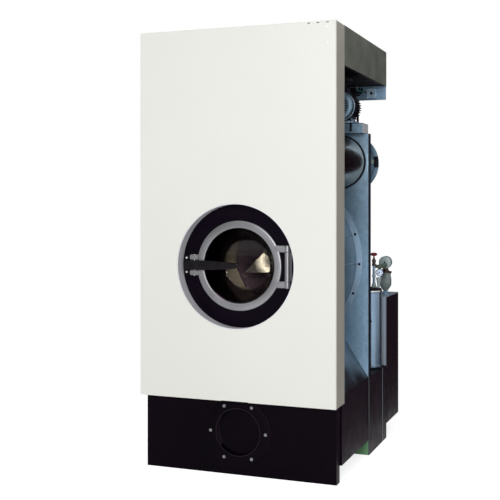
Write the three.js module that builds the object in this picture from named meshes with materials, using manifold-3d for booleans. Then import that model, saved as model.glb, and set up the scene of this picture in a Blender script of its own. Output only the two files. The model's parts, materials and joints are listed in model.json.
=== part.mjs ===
import * as THREE from 'three';
import { mergeVertices } from 'three/addons/utils/BufferGeometryUtils.js';
import Module from 'manifold-3d';

// Dry cleaning machine. Millimetres, +Z up, front facing -Y, origin at the bottom centre.
// Depths are measured from the front panel's face towards the rear, in the machine group.

const wasm = await Module();
wasm.setup();

// ---- Driving dimensions -------------------------------------------------------------------

const machineWidth = 900;
const machineDepth = 1200;
const halfWidth = machineWidth / 2;

// Heights, stacked from the floor up
const baseTop = 362;
const tubLift = 150; // of the tub's underside above the base
const tubRadius = 390;
const drawerLift = 43; // of the lint drawer above the tub
const filterRise = 145; // from the drawer's underside to the housing's top
const bulkheadMargin = 15; // above the filter housing
const fanDrop = 130; // of the fan's axis below the bulkhead's top
const railHeight = 46;
const motorLift = 75; // of the top motor's axis above the rail
const motorBay = 214; // between the rail and the top box
const boxHeight = 170;

const drumHeight = baseTop + tubLift + tubRadius; // of the drum's axis, above the floor
const drawerBottom = drumHeight + tubRadius + drawerLift;
const filterTop = drawerBottom + filterRise;
const bulkheadTop = filterTop + bulkheadMargin;
const fanHeight = bulkheadTop - fanDrop;
const railTop = bulkheadTop + railHeight;
const motorHeight = railTop + motorLift;
const boxBottom = railTop + motorBay;
const machineHeight = boxBottom + boxHeight;

const seatGap = 0.3; // between pieces that rest on, or are bolted to, each other
const boreGap = 0.5; // radial, between a turning shaft and its bore
const slideGap = 1.2; // between a sliding drawer and its runners

const thinSheet = 2;
const tankSheet = 3;

// Front panel and the round hole for the door
const panelDrop = 38; // of the panel's lower edge below the top of the base
const panelBottom = baseTop - panelDrop;
const panelReturn = 131;
const panelLip = 16;
const doorHoleRadius = 270;
const collarFlange = 14;

// Drum line
const tubFront = 62;
const tubMouthRadius = 177;
const tubRingWidth = 27;
const tubRingThickness = 3;
const tubBoltCount = 18;
const tubBoltAngle = -2;
const tubBoltRadius = 7;
const drumRadius = 345;
const drumFront = 96;
const drumBack = 516;
const drumMouthRadius = 190;
const drumLipDepth = 26;
const drumDish = 14;
const lifterHeight = 62;
const lifterWidth = 84;
const ribCount = 3;
const ribHeight = 12;
const drumShaftRadius = 25;
const drumHubRadius = 78;
const drumHubThickness = 9;
const bearingFlangeRadius = 120;
const bearingBarrelRadius = 58;
const gussetLength = 60;
const bearingBarrelEnd = 684;
const drumPulleyRadius = 250;
const drumPulleyFront = 698;
const pulleyWidth = 24;
const pulleyHubRadius = 44;
const pulleyWeb = 7;

// Belts
const beltWidth = 13;
const beltThickness = 9;
const beltGap = 1; // between a belt and its groove

// Door
const doorRingRadius = 195;
const doorRingBore = 163;
const doorRingFront = 48;
const doorRingThickness = 10;
const glassFlangeRadius = 171;
const glassThickness = 5;
const glassDepth = 163; // of the bowl's flat end
const glassEndRadius = 113;
const sealInner = 173;
const sealOuter = 189;
const hingeX = 225;
const hingeDepth = 44;
const hingePinRadius = 4.5;
const knuckleRadius = 12;
const hingeArmInner = 62; // above and below the drum's axis
const hingeArmOuter = 90;
const hingeFootWidth = 30;
const latchX = 206;
const latchDepth = 44;
const latchPinRadius = 4;
const lugInner = 22.5;
const lugOuter = 45;
const lugReach = 20; // from the latch pin to the lug's end
const lugRise = 7; // in front of the latch pin
const handleLength = 206; // from the latch pin to the free end
const handleRoot = 41; // height at the lugs
const handleTip = 25; // height at the free end
const handleThickness = 17;
const handleNose = 32;
const handleNoseDepth = 12;
const keeperOuter = 258;
const keeperInner = 231;
const keeperHeight = 42; // above and below the drum's axis
const keeperFront = 42;
const keeperBoltRadius = 6;
const keeperBoltOffset = 31;

// Base
const skirtInset = 12; // of the base front from the side
const skirtHalfWidth = halfWidth - skirtInset;
const skirtFront = 49;
const skirtReturn = 47;
const skirtFoot = 40;
const tankBottom = 71;
const baseJoint = 562; // depth where the tank ends and the rear base starts
const coverHeight = 185;
const coverRadius = 150;
const coverFlange = 6;
const coverDishRadius = 104;
const coverDishDepth = 42;
const coverWall = 3;
const coverBoltCircle = 127;
const coverBoltCount = 6;
const gasketThickness = 2;
const neckWall = 6;
const drainRadius = 50;
const hopperFront = 140;
const hopperInset = 4; // of the hopper's foot from the side
const hopperFootHalf = halfWidth - hopperInset;
const hopperLean = 180; // from foot to top
const hopperTopHalf = hopperFootHalf - hopperLean;
const hopperRise = 280; // above the base
const hopperTop = baseTop + hopperRise;
const rearBaseEnd = 920;
const restFlange = 40;
const restThickness = 4;
const rearBoxRise = 342; // above the base
const rearBoxTop = baseTop + rearBoxRise;
const rearBoxLid = 4;
const postWidth = 25;
const postSheet = 3;
const louvreCount = 6;
const louvreRise = 330; // of the lowest louvre above the box's floor
const louvrePitch = 36;
const louvreSlot = 14;

// Bulkhead and what stands on it
const bulkheadFace = 560;
const bulkheadReturn = 30;
const railInset = 16;
const railHalfWidth = halfWidth - railInset;
const railFront = 500;
const railBack = 604;
const boxLip = 20;
const postSize = 40;
const postX = 230;
const postDepth = 556;
const trayDrop = 66;
const trayLip = 20;

// Fan line
const fanInset = 142; // of the fan's axis from the side
const fanX = halfWidth - fanInset;
const fanCasingRadius = 123;
const fanCasingFront = 170;
const fanShaftRadius = 12;
const fanShaftFront = 205;
const impellerRadius = 104;
const impellerFront = 215;
const impellerDepth = 90;
const bladeCount = 8;
const fanBearingRadius = 30;
const fanBearingFlange = 56;
const fanPulleyRadius = 75;
const beltPlane = 631; // middle of the fan belt, from the front
const guardWallRadius = 92;
const guardRimRadius = 141.5;
const guardRimWidth = 20;
const guardRim = 756;
const guardRimThickness = 4;
const guardRimRise = 8;
const motorInset = 108;
const motorX = halfWidth - motorInset;
const motorFinRadius = 67;
const motorCoreRadius = 58;
const motorLength = 137;
const motorToBelt = 39; // from its rear shield to the middle of the belt
const motorBack = beltPlane - motorToBelt;
const motorFront = motorBack - motorLength;
const finCount = 22;
const cowlRadius = 62;
const cowlDepth = 33;
const cowlGrilleRadius = 44;
const cowlSlotPitch = 11;
const cowlSlotHalf = 3;
const cowlRibHalf = 3;
const motorShaftRadius = 11;
const motorPulleyRadius = 38;

// Lint filter and air ducts
const filterHalfWidth = 180;
const filterFront = 200;
const filterBack = 500;
const ductSheet = 2.5;
const drawerHeight = 50;
const runnerWidth = 14;
const runnerHeight = 6;
const sleeveRadius = 80;
const sleeveWall = 3;
const sleeveRise = 25; // above the fan's axis
const returnRadius = 40;
const returnDepth = 300;

// Drum motor on the rear base
const drumMotorX = -250;
const drumMotorLift = 108; // of its axis above the base
const drumMotorHeight = baseTop + drumMotorLift;
const drumMotorRadius = 84;
const drumMotorFront = 742;
const drumMotorBack = 902;
const drumMotorShaftRadius = 14;
const drumMotorPulleyRadius = 45;

// Services at the right rear
const vesselSide = 55; // of its axis from the side
const vesselX = halfWidth - vesselSide;
const vesselInset = 90; // of its axis from the rear of the base
const vesselDepth = rearBaseEnd - vesselInset;
const vesselRadius = 48;
const vesselRise = 380;
const vesselTop = baseTop + vesselRise;
const ventX = vesselX + 13;
const ventRadius = 7;
const ventRise = 151;
const ventTop = vesselTop + ventRise;
const gaugeX = vesselX + 26;
const gaugeStep = 61; // of the gauge's face behind the vessel's axis
const gaugeDepth = vesselDepth + gaugeStep;
const gaugeRise = 84;
const gaugeHeight = vesselTop + gaugeRise;
const gaugeRadius = 19.5;
const regulatorX = vesselX + 23;
const regulatorStep = 149; // of its axis behind the gauge's face
const regulatorDepth = gaugeDepth + regulatorStep;
const regulatorRise = 43; // of its head above the gauge
const regulatorHeight = gaugeHeight + regulatorRise;
const regulatorRadius = 31.5;

// Round pieces: number of facets
const fine = 32;
const medium = 18;
const coarse = 12;

// ---- Geometry helpers ---------------------------------------------------------------------

/** A closed three.js geometry as a solid that can be cut and joined. */
function solid(geometry) {
  geometry.deleteAttribute('normal');
  geometry.deleteAttribute('uv');
  const merged = mergeVertices(geometry, 1e-4);
  const index = merged.index.array;
  const corners = [];
  for (let i = 0; i < index.length; i += 3) {
    const [a, b, c] = [index[i], index[i + 1], index[i + 2]];
    if (a !== b && b !== c && c !== a) corners.push(a, b, c);
  }
  return new wasm.Manifold(new wasm.Mesh({
    numProp: 3,
    vertProperties: new Float32Array(merged.attributes.position.array),
    triVerts: new Uint32Array(corners),
  }));
}

/** A box between two values on each axis. */
function block([x0, x1], [y0, y1], [z0, z1]) {
  const geometry = new THREE.BoxGeometry(x1 - x0, y1 - y0, z1 - z0);
  geometry.translate((x0 + x1) / 2, (y0 + y1) / 2, (z0 + z1) / 2);
  return solid(geometry);
}

/** Turns a lathe shape, made about Y, so that its axis lies along the named axis. */
function aim(geometry, axis) {
  if (axis === 'z') geometry.rotateX(Math.PI / 2);
  if (axis === 'x') geometry.rotateZ(-Math.PI / 2);
  return geometry;
}

/** A turned solid: profile points are [radius, distance along the axis]. */
function turned(profile, { axis = 'y', at = [0, 0, 0], facets = medium } = {}) {
  const closed = profile[0][0] > 0;
  const points = profile.map(([radius, along]) => new THREE.Vector2(radius, along));
  if (closed) points.push(points[0].clone());
  if (THREE.ShapeUtils.area(points) < 0) points.reverse();
  const geometry = aim(new THREE.LatheGeometry(points, facets), axis);
  return solid(geometry.translate(...at));
}

/** A plain cylinder between two places on the named axis. */
function rod(radius, from, to, options) {
  return turned([[0, from], [radius, from], [radius, to], [0, to]], options);
}

/** A plain tube between two places on the named axis. */
function pipe(outer, inner, from, to, options) {
  return turned([[inner, from], [outer, from], [outer, to], [inner, to]], options);
}

/** An outline in X and Z, as a plate between two depths, turned about the depth axis. */
function plate(shape, y0, y1, turn = 0) {
  const settings = { depth: y1 - y0, bevelEnabled: false, curveSegments: 12 };
  const geometry = new THREE.ExtrudeGeometry(shape, settings);
  geometry.rotateX(Math.PI / 2);
  geometry.translate(0, y1, 0);
  geometry.rotateY(turn);
  return solid(geometry);
}

/** An outline in X and Y, standing between two heights. */
function prism(shape, z0, z1) {
  const settings = { depth: z1 - z0, bevelEnabled: false };
  const geometry = new THREE.ExtrudeGeometry(shape, settings);
  geometry.translate(0, 0, z0);
  return solid(geometry);
}

/** A closed outline through corners given as pairs. */
function outline(corners) {
  return new THREE.Shape(corners.map(([u, v]) => new THREE.Vector2(u, v)));
}

/** A round tube along a smooth curve through the given points. */
function hose(points, radius, steps, sides = 10) {
  const section = new THREE.Shape();
  for (let i = 0; i < sides; i += 1) {
    const angle = (2 * Math.PI * i) / sides;
    const [u, v] = [radius * Math.cos(angle), radius * Math.sin(angle)];
    if (i === 0) section.moveTo(u, v);
    else section.lineTo(u, v);
  }
  const extrudePath = new THREE.CatmullRomCurve3(points.map((p) => new THREE.Vector3(...p)));
  return solid(new THREE.ExtrudeGeometry(section, { steps, extrudePath, bevelEnabled: false }));
}

/** A hexagonal bolt head whose axis lies along Y. */
function boltHead(radius, y0, y1, x, z) {
  return rod(radius, y0, y1, { at: [x, 0, z], facets: 6 });
}

/** Calls make(angle) for evenly spaced angles in degrees, and joins what it gives. */
function around(count, start, make) {
  let joined = null;
  for (let i = 0; i < count; i += 1) {
    const next = make(THREE.MathUtils.degToRad(start + (360 * i) / count));
    joined = joined ? joined.add(next) : next;
  }
  return joined;
}

/** The band between two circles' outer tangents, as an outline: centres [x, z] and radii. */
function beltOutline([x1, z1], r1, [x2, z2], r2, steps) {
  const heading = Math.atan2(z2 - z1, x2 - x1);
  const span = Math.hypot(x2 - x1, z2 - z1);
  const lean = Math.acos((r1 - r2) / span);
  const corners = [];
  for (let i = 0; i <= steps; i += 1) {
    const angle = heading + lean + ((2 * Math.PI - 2 * lean) * i) / steps;
    corners.push([x1 + r1 * Math.cos(angle), z1 + r1 * Math.sin(angle)]);
  }
  for (let i = 0; i <= steps; i += 1) {
    const angle = heading - lean + (2 * lean * i) / steps;
    corners.push([x2 + r2 * Math.cos(angle), z2 + r2 * Math.sin(angle)]);
  }
  return corners;
}

/** A V-belt round two pulleys whose rims have the given radii. */
function belt(centre1, rim1, centre2, rim2, plane, steps) {
  const rest = beltThickness - beltGap;
  const grow = beltThickness;
  const inner1 = rim1 - rest;
  const inner2 = rim2 - rest;
  const outer = beltOutline(centre1, inner1 + grow, centre2, inner2 + grow, steps);
  const inner = beltOutline(centre1, inner1, centre2, inner2, steps);
  const band = outline(outer);
  band.holes.push(new THREE.Path(inner.map(([u, v]) => new THREE.Vector2(u, v))));
  return plate(band, plane - beltWidth / 2, plane + beltWidth / 2);
}

/** Profile of a grooved pulley from its bore outwards; plane is the middle of its groove. */
function pulley(rim, hub, bore, plane, facets) {
  const half = pulleyWidth / 2;
  const groove = beltWidth / 2 + beltGap;
  const root = rim - beltThickness;
  const webOuter = root - 7;
  const web = plane - half + pulleyWeb;
  const profile = [
    [bore, plane - half], [rim, plane - half],
    [rim, plane - groove], [root, plane - groove], [root, plane + groove],
    [rim, plane + groove], [rim, plane + half], [webOuter, plane + half],
    [webOuter, web], [hub, web], [hub, plane + half], [bore, plane + half],
  ];
  return turned(profile, { facets });
}

/** A small solid pulley keyed on its own shaft, which runs from y0 to y1. */
function keyedPulley(rim, shaft, y0, y1, plane) {
  const half = pulleyWidth / 2;
  const groove = beltWidth / 2 + beltGap;
  const root = rim - beltThickness;
  return turned([
    [0, y0], [shaft, y0], [shaft, plane - half], [rim, plane - half], [rim, plane - groove],
    [root, plane - groove], [root, plane + groove], [rim, plane + groove], [rim, plane + half],
    [shaft, plane + half], [shaft, y1], [0, y1],
  ], { facets: medium });
}

// ---- Finishes -----------------------------------------------------------------------------

const finishes = {
  whitePaint: { color: 0xe9eae4, roughness: 0.45, metalness: 0 },
  collarGrey: { color: 0xa9a9ab, roughness: 0.5, metalness: 0 },
  blackPaint: { color: 0x17121b, roughness: 0.5, metalness: 0 },
  olivePaint: { color: 0x55574f, roughness: 0.55, metalness: 0 },
  galvanised: { color: 0x86a2b2, roughness: 0.45, metalness: 0.6 },
  darkSteel: { color: 0x4d5f68, roughness: 0.5, metalness: 0.6 },
  stainless: { color: 0xb5b0a2, roughness: 0.25, metalness: 0.95 },
  castAluminium: { color: 0xa3a4a8, roughness: 0.4, metalness: 0.7 },
  brightSteel: { color: 0xc4c8cc, roughness: 0.25, metalness: 0.95 },
  lightGrey: { color: 0xb3b7b8, roughness: 0.5, metalness: 0.2 },
  glass: { color: 0x9fb2b5, roughness: 0.05, metalness: 0, transparent: true, opacity: 0.35 },
  blackPlastic: { color: 0x141216, roughness: 0.35, metalness: 0 },
  rubber: { color: 0x1b1a1c, roughness: 0.8, metalness: 0 },
  redPlastic: { color: 0x9c1f27, roughness: 0.4, metalness: 0 },
  valveGrey: { color: 0x7f8f88, roughness: 0.5, metalness: 0.4 },
  dialWhite: { color: 0xe4e8f0, roughness: 0.35, metalness: 0 },
  greenHose: { color: 0x2f6a55, roughness: 0.5, metalness: 0 },
  castGrey: { color: 0x5b6166, roughness: 0.6, metalness: 0.5 },
};

/** Adds a named piece to a group. */
function piece(group, name, body, finish) {
  const { vertProperties, triVerts } = body.getMesh();
  const geometry = new THREE.BufferGeometry();
  geometry.setAttribute('position', new THREE.BufferAttribute(vertProperties, 3));
  geometry.setIndex(new THREE.BufferAttribute(triVerts, 1));
  geometry.computeVertexNormals();
  const material = new THREE.MeshStandardMaterial({ ...finishes[finish], flatShading: true });
  const mesh = new THREE.Mesh(geometry, material);
  mesh.name = name;
  group.add(mesh);
  return mesh;
}

const part = new THREE.Group();
const machine = new THREE.Group();
machine.position.y = -machineDepth / 2;
part.add(machine);

/** A group whose origin is an axis along the depth, at a place across and a height. */
function axisGroup(x, height) {
  const group = new THREE.Group();
  group.position.set(x, 0, height);
  machine.add(group);
  return group;
}

// ---- Front panel, collar, base front ------------------------------------------------------

function frontPanel() {
  const outer = halfWidth;
  const inner = halfWidth - thinSheet;
  const lipEdge = halfWidth - panelLip;
  const foot = skirtFront - seatGap;
  const tray = block([-outer, outer], [0, panelReturn], [panelBottom, machineHeight]);
  const inside = block([-inner, inner], [thinSheet, panelReturn - thinSheet],
    [panelBottom + thinSheet, machineHeight - thinSheet]);
  const rearOpening = block([-lipEdge, lipEdge], [panelReturn - 2 * thinSheet, panelReturn + 1],
    [panelBottom + panelLip, machineHeight - panelLip]);
  const footOpening = block([-inner, inner], [foot, panelReturn + 1],
    [panelBottom - 1, baseTop + 1]);
  const coverRelief = rod(coverRadius + 3, thinSheet, panelReturn,
    { at: [0, 0, coverHeight], facets: fine });
  const doorHole = rod(doorHoleRadius, -1, thinSheet + 1, { at: [0, 0, drumHeight], facets: fine });
  return tray.subtract(inside).subtract(rearOpening).subtract(footOpening)
    .subtract(coverRelief).subtract(doorHole);
}

function doorCollar() {
  const outer = doorHoleRadius - seatGap;
  const inner = outer - thinSheet;
  const back = thinSheet + seatGap;
  const end = tubFront - seatGap;
  return turned([
    [inner, thinSheet / 4], [outer, thinSheet / 4], [outer, back], [outer + collarFlange, back],
    [outer + collarFlange, back + thinSheet], [outer, back + thinSheet], [outer, end], [inner, end],
  ], { facets: fine });
}

function baseFront() {
  const half = skirtHalfWidth;
  const back = skirtFront + skirtReturn;
  const front = skirtFront + tankSheet;
  const side = half - tankSheet;
  const body = block([-half, half], [skirtFront, back], [0, baseTop]);
  const inside = block([-side, side], [front, back + 1], [tankSheet, baseTop + 1]);
  const footEnd = block([-side, side], [front + skirtFoot, back + 1], [-1, tankSheet + 1]);
  const hole = rod(coverDishRadius + neckWall + seatGap, skirtFront - 1, front + 1,
    { at: [0, 0, coverHeight], facets: fine });
  return body.subtract(inside).subtract(footEnd).subtract(hole);
}

piece(machine, 'front_panel', frontPanel(), 'whitePaint');
piece(machine, 'base_front_plate', baseFront(), 'blackPaint');

// ---- Inspection cover ---------------------------------------------------------------------

const coverGroup = axisGroup(0, coverHeight);
const gasketBack = skirtFront - seatGap;
const gasketFront = gasketBack - gasketThickness;
const coverBack = gasketFront - seatGap;
const coverFront = coverBack - coverFlange;
const coverBoltRadius = 9;
const coverBoltHead = 6;

function inspectionCover() {
  const wall = coverDishRadius - seatGap;
  const bottom = coverBack + coverDishDepth;
  const dish = turned([
    [0, bottom - coverWall], [wall - coverWall, bottom - coverWall], [wall - coverWall, coverFront],
    [coverRadius, coverFront], [coverRadius, coverBack], [wall, coverBack], [wall, bottom], [0, bottom],
  ], { facets: fine });
  const bolts = around(coverBoltCount, 0, (angle) => boltHead(coverBoltRadius,
    coverFront - coverBoltHead, coverFront + 1,
    coverBoltCircle * Math.cos(angle), coverBoltCircle * Math.sin(angle)));
  return dish.add(bolts);
}

piece(coverGroup, 'cover_gasket',
  pipe(coverRadius, coverDishRadius + neckWall + 2, gasketFront, gasketBack, { facets: fine }), 'rubber');
piece(coverGroup, 'inspection_cover', inspectionCover(), 'blackPaint');

// ---- Base tank, hopper, rear base, rear box -----------------------------------------------

const tankFront = skirtFront + skirtReturn + seatGap;
const tankBack = baseJoint - seatGap;
const drainDepth = (hopperFront + bulkheadFace) / 2;

function baseTank() {
  const w = halfWidth - thinSheet - seatGap;
  const s = tankSheet;
  const shell = block([-w, w], [tankFront, tankBack], [tankBottom, baseTop]);
  const inside = block([-w + s, w - s], [tankFront + s, tankBack - s], [tankBottom + s, baseTop - s]);
  const neckHole = rod(coverDishRadius, tankFront - 1, tankFront + s + 1,
    { at: [0, 0, coverHeight], facets: fine });
  const drain = rod(drainRadius, baseTop - s - 1, baseTop + 1,
    { axis: 'z', at: [0, drainDepth, 0], facets: medium });
  const neck = pipe(coverDishRadius + neckWall, coverDishRadius, skirtFront, tankFront + s / 2,
    { at: [0, 0, coverHeight], facets: fine });
  return shell.subtract(inside).subtract(neckHole).subtract(drain).add(neck);
}

/** The hopper's leaning sides, drawn in by an inset; heights are above a datum. */
function hopperSides(inset, bottom, datum = 0) {
  return outline([
    [-hopperFootHalf + inset, bottom - datum], [hopperFootHalf - inset, bottom - datum],
    [hopperTopHalf - inset, hopperTop - datum], [-hopperTopHalf + inset, hopperTop - datum],
  ]);
}

function sumpHopper() {
  const s = tankSheet;
  const floor = baseTop + seatGap;
  const back = bulkheadFace - seatGap;
  const skin = s * 1.2; // across, for a wall that leans
  const body = plate(hopperSides(0, floor), hopperFront, back);
  const inside = plate(hopperSides(skin, floor + s), hopperFront + s, back - s);
  const drain = rod(drainRadius, floor - 1, floor + s + 1,
    { axis: 'z', at: [0, drainDepth, 0], facets: medium });
  const tubSpace = rod(tubRadius + seatGap, 0, machineDepth, { at: [0, 0, drumHeight], facets: fine });
  return body.subtract(inside).subtract(drain).subtract(tubSpace);
}

function rearBase() {
  const w = halfWidth;
  const s = tankSheet;
  const body = block([-w, w], [baseJoint, rearBaseEnd], [0, baseTop]);
  const inside = block([-w + s, w - s], [baseJoint + s, rearBaseEnd - s],
    [restThickness, baseTop - s]);
  const below = block([-w + restFlange, w - restFlange],
    [baseJoint + restFlange, rearBaseEnd - restFlange], [-1, restThickness + 1]);
  return body.subtract(inside).subtract(below);
}

const rearBoxFront = rearBaseEnd + seatGap;
const lidBottom = rearBoxTop - rearBoxLid;

function rearBox() {
  const w = halfWidth;
  const s = thinSheet;
  const top = lidBottom - seatGap;
  const shell = block([-w, w], [rearBoxFront, machineDepth], [tankBottom, top]);
  const inside = block([-w + s, w - s], [rearBoxFront + s, machineDepth - s], [tankBottom + s, top + 1]);
  let body = shell.subtract(inside);
  for (let i = 0; i < louvreCount; i += 1) {
    const z = tankBottom + louvreRise + i * louvrePitch;
    body = body.subtract(block([-w / 2, w / 2], [machineDepth - s - 1, machineDepth + 1],
      [z, z + louvreSlot]));
  }
  return body;
}

function cornerPost() {
  const w = halfWidth;
  const front = rearBaseEnd - postWidth;
  const web = rearBaseEnd - postSheet;
  const angle = outline([[w, front], [w, rearBaseEnd], [w - postWidth, rearBaseEnd],
    [w - postWidth, web], [w - postSheet, web], [w - postSheet, front]]);
  return prism(angle, baseTop + seatGap, rearBoxTop);
}

piece(machine, 'base_tank', baseTank(), 'blackPaint');
piece(machine, 'sump_hopper', sumpHopper(), 'darkSteel');
piece(machine, 'rear_base', rearBase(), 'blackPaint');
piece(machine, 'rear_box', rearBox(), 'blackPaint');
piece(machine, 'rear_box_lid',
  block([-halfWidth, halfWidth], [rearBoxFront, machineDepth], [lidBottom, rearBoxTop]), 'lightGrey');
piece(machine, 'corner_post', cornerPost(), 'lightGrey');

// ---- Bulkhead, rail, posts, top box -------------------------------------------------------

function bulkhead() {
  const w = halfWidth;
  const s = tankSheet;
  const bottom = baseTop + seatGap;
  const back = bulkheadFace + bulkheadReturn;
  const tray = block([-w, w], [bulkheadFace, back], [bottom, bulkheadTop]);
  const inside = block([-w + s, w - s], [bulkheadFace + s, back + 1], [bottom + s, bulkheadTop - s]);
  const shaftHole = rod(bearingBarrelRadius + 1, bulkheadFace - 1, bulkheadFace + s + 1,
    { at: [0, 0, drumHeight], facets: medium });
  const fanHole = rod(fanBearingRadius + 1, bulkheadFace - 1, bulkheadFace + s + 1,
    { at: [fanX, 0, fanHeight], facets: medium });
  return tray.subtract(inside).subtract(shaftHole).subtract(fanHole);
}

function motorRail() {
  const w = railHalfWidth;
  const s = tankSheet;
  const bottom = bulkheadTop + seatGap;
  const body = block([-w, w], [railFront, railBack], [bottom, railTop]);
  const inside = block([-w - 1, w + 1], [railFront + s, railBack - s], [bottom - 1, railTop - s]);
  const foot = block([-w, w], [bulkheadFace, railBack], [bottom, bottom + s]);
  return body.subtract(inside).add(foot);
}

const railUp = railTop + seatGap;
const boxFront = panelReturn + seatGap;

function boxPost(side) {
  const s = tankSheet;
  const [x0, x1] = [side * postX - postSize / 2, side * postX + postSize / 2];
  const [y0, y1] = [postDepth - postSize / 2, postDepth + postSize / 2];
  const top = boxBottom + thinSheet;
  const tube = block([x0, x1], [y0, y1], [railTop - 1, top]);
  const bore = block([x0 + s, x1 - s], [y0 + s, y1 - s], [railTop, top + 1]);
  return tube.subtract(bore);
}

function controlBox() {
  const w = halfWidth;
  const s = thinSheet;
  const shell = block([-w, w], [boxFront, rearBaseEnd], [boxBottom, machineHeight]);
  const inside = block([-w + s, w - s], [boxFront + s, rearBaseEnd - s],
    [boxBottom + s, machineHeight - s]);
  const below = block([-w + boxLip, w - boxLip], [boxFront + boxLip, rearBaseEnd - boxLip],
    [boxBottom - 1, boxBottom + s + 1]);
  return shell.subtract(inside).subtract(below);
}

const boxFloor = boxBottom + thinSheet + seatGap;

function boxFloorPlate() {
  const edge = thinSheet + seatGap;
  return block([-halfWidth + edge, halfWidth - edge], [boxFront + edge, rearBaseEnd - edge],
    [boxFloor, boxFloor + thinSheet]);
}

const contactorCount = 5;
const contactorPitch = 68;
const contactorWidth = 46;
const contactorDepth = 80;
const contactorHeight = 79;
const armatureHeight = 15;
const bankPlate = 4;
const bankMargin = 20;
const bankDepth = 460; // of the bank's middle, from the front

function contactorBank() {
  const base = boxFloor + thinSheet + seatGap;
  const top = base + bankPlate + contactorHeight;
  const side = (contactorPitch * (contactorCount - 1) + contactorWidth) / 2;
  const [y0, y1] = [bankDepth - contactorDepth / 2, bankDepth + contactorDepth / 2];
  const inset = contactorWidth / 6;
  let bank = block([-side - bankMargin, side + bankMargin], [y0 - bankMargin, y1 + bankMargin],
    [base, base + bankPlate]);
  for (let i = 0; i < contactorCount; i += 1) {
    const x = i * contactorPitch - side;
    bank = bank.add(block([x, x + contactorWidth], [y0, y1], [base + bankPlate - 1, top]));
    bank = bank.add(block([x + inset, x + contactorWidth - inset], [y0 + 1.5 * inset, y1 - 1.5 * inset],
      [top - 1, top + armatureHeight]));
  }
  return bank;
}

piece(machine, 'bulkhead', bulkhead(), 'galvanised');
piece(machine, 'motor_rail', motorRail().add(boxPost(1)).add(boxPost(-1)), 'galvanised');
piece(machine, 'control_box', controlBox(), 'olivePaint');
piece(machine, 'control_box_floor', boxFloorPlate(), 'blackPaint');
piece(machine, 'contactor_bank', contactorBank(), 'lightGrey');

const trayTop = boxBottom - seatGap;
const trayBack = rearBaseEnd - 3;
const trayFront = trayBack - thinSheet;

function cableTray() {
  const w = halfWidth - 1;
  const bottom = boxBottom - trayDrop;
  const web = block([-w, w], [trayFront, trayBack], [bottom, trayTop]);
  const topLip = block([-w, w], [trayFront - trayLip, trayBack], [trayTop - thinSheet, trayTop]);
  const bottomLip = block([-w, w], [trayFront - trayLip / 2, trayBack], [bottom, bottom + thinSheet]);
  return web.add(topLip).add(bottomLip);
}

const switchInset = 69; // of its middle from the side
const switchX = halfWidth - switchInset;
const switchSize = 48;
const switchDrop = 35; // of its middle below the top box
const switchHeight = boxBottom - switchDrop;
const switchDepth = 26;

function pressureSwitch() {
  const back = trayFront - seatGap;
  const half = switchSize / 2;
  const body = block([switchX - half, switchX + half], [back - switchDepth, back],
    [switchHeight - half, switchHeight + half]);
  const button = rod(7, back - switchDepth - 5, back - switchDepth + 1,
    { at: [switchX, 0, switchHeight], facets: coarse });
  return body.add(button);
}

piece(machine, 'cable_tray', cableTray(), 'galvanised');
piece(machine, 'pressure_switch', pressureSwitch(), 'galvanised');

// ---- Main switch and cable gland on the rear of the top box -------------------------------

const mainSwitchInset = 150; // from the left side
const mainSwitchX = mainSwitchInset - halfWidth;
const mainSwitchHeight = boxBottom + boxHeight / 2;
const mainKnobDepth = 24;
const mainKnobRadius = 23;
const mainKnobPlate = 8;
const mainGripHalf = 6;
const boxRear = rearBaseEnd + seatGap;
const switchGroup = axisGroup(mainSwitchX, mainSwitchHeight);
const knobFront = boxRear;

piece(switchGroup, 'main_switch_knob',
  rod(mainKnobRadius, knobFront, knobFront + mainKnobPlate, { facets: coarse })
    .add(block([-mainGripHalf, mainGripHalf], [knobFront, knobFront + mainKnobDepth],
      [1 - mainKnobRadius, mainKnobRadius - 1])), 'redPlastic');

const glandSpacing = 120; // from the main switch
const glandBore = 8;
const glandNutRadius = 19;
const glandNut = 9; // thickness
const glandDomeRadius = 16;
const glandLength = 28;
const glandGroup = axisGroup(mainSwitchX + glandSpacing, mainSwitchHeight);

function cableGland() {
  const nut = pipe(glandNutRadius, glandBore, boxRear, boxRear + glandNut, { facets: 6 });
  const end = boxRear + glandLength;
  const dome = turned([
    [glandBore, boxRear + glandNut - 1], [glandDomeRadius, boxRear + glandNut - 1],
    [glandDomeRadius, end - glandBore], [glandDomeRadius * 0.75, end], [glandBore, end],
  ], { facets: coarse });
  return nut.add(dome);
}

piece(glandGroup, 'cable_gland', cableGland(), 'blackPlastic');

// ---- Drum line: tub, drum, shaft, bearing, pulley -----------------------------------------

const drumGroup = axisGroup(0, drumHeight);
const tubBack = bulkheadFace - seatGap;
const filterMouthHalf = 140;
const tubDrainHalf = 110;
const tubDrainInset = 60; // from the hopper's front sheet and from the tub's back edge

piece(drumGroup, 'door_collar', doorCollar(), 'collarGrey');

function tub() {
  const s = tankSheet;
  const shell = turned([
    [tubMouthRadius, tubFront], [tubRadius, tubFront], [tubRadius, tubBack],
    [tubRadius - s, tubBack], [tubRadius - s, tubFront + s], [tubMouthRadius, tubFront + s],
  ], { facets: fine });
  const drain = block([-tubDrainHalf, tubDrainHalf],
    [hopperFront + tubDrainInset, tubBack - tubDrainInset], [-tubRadius - 1, -tubRadius / 2]);
  const filterMouth = block([-filterMouthHalf, filterMouthHalf], [filterFront + 20, filterBack - 20],
    [tubRadius / 2, tubRadius + 1]);
  return shell.subtract(drain).subtract(filterMouth).add(returnDuct())
    .subtract(returnDuctSpace(returnRadius - thinSheet));
}

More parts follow.
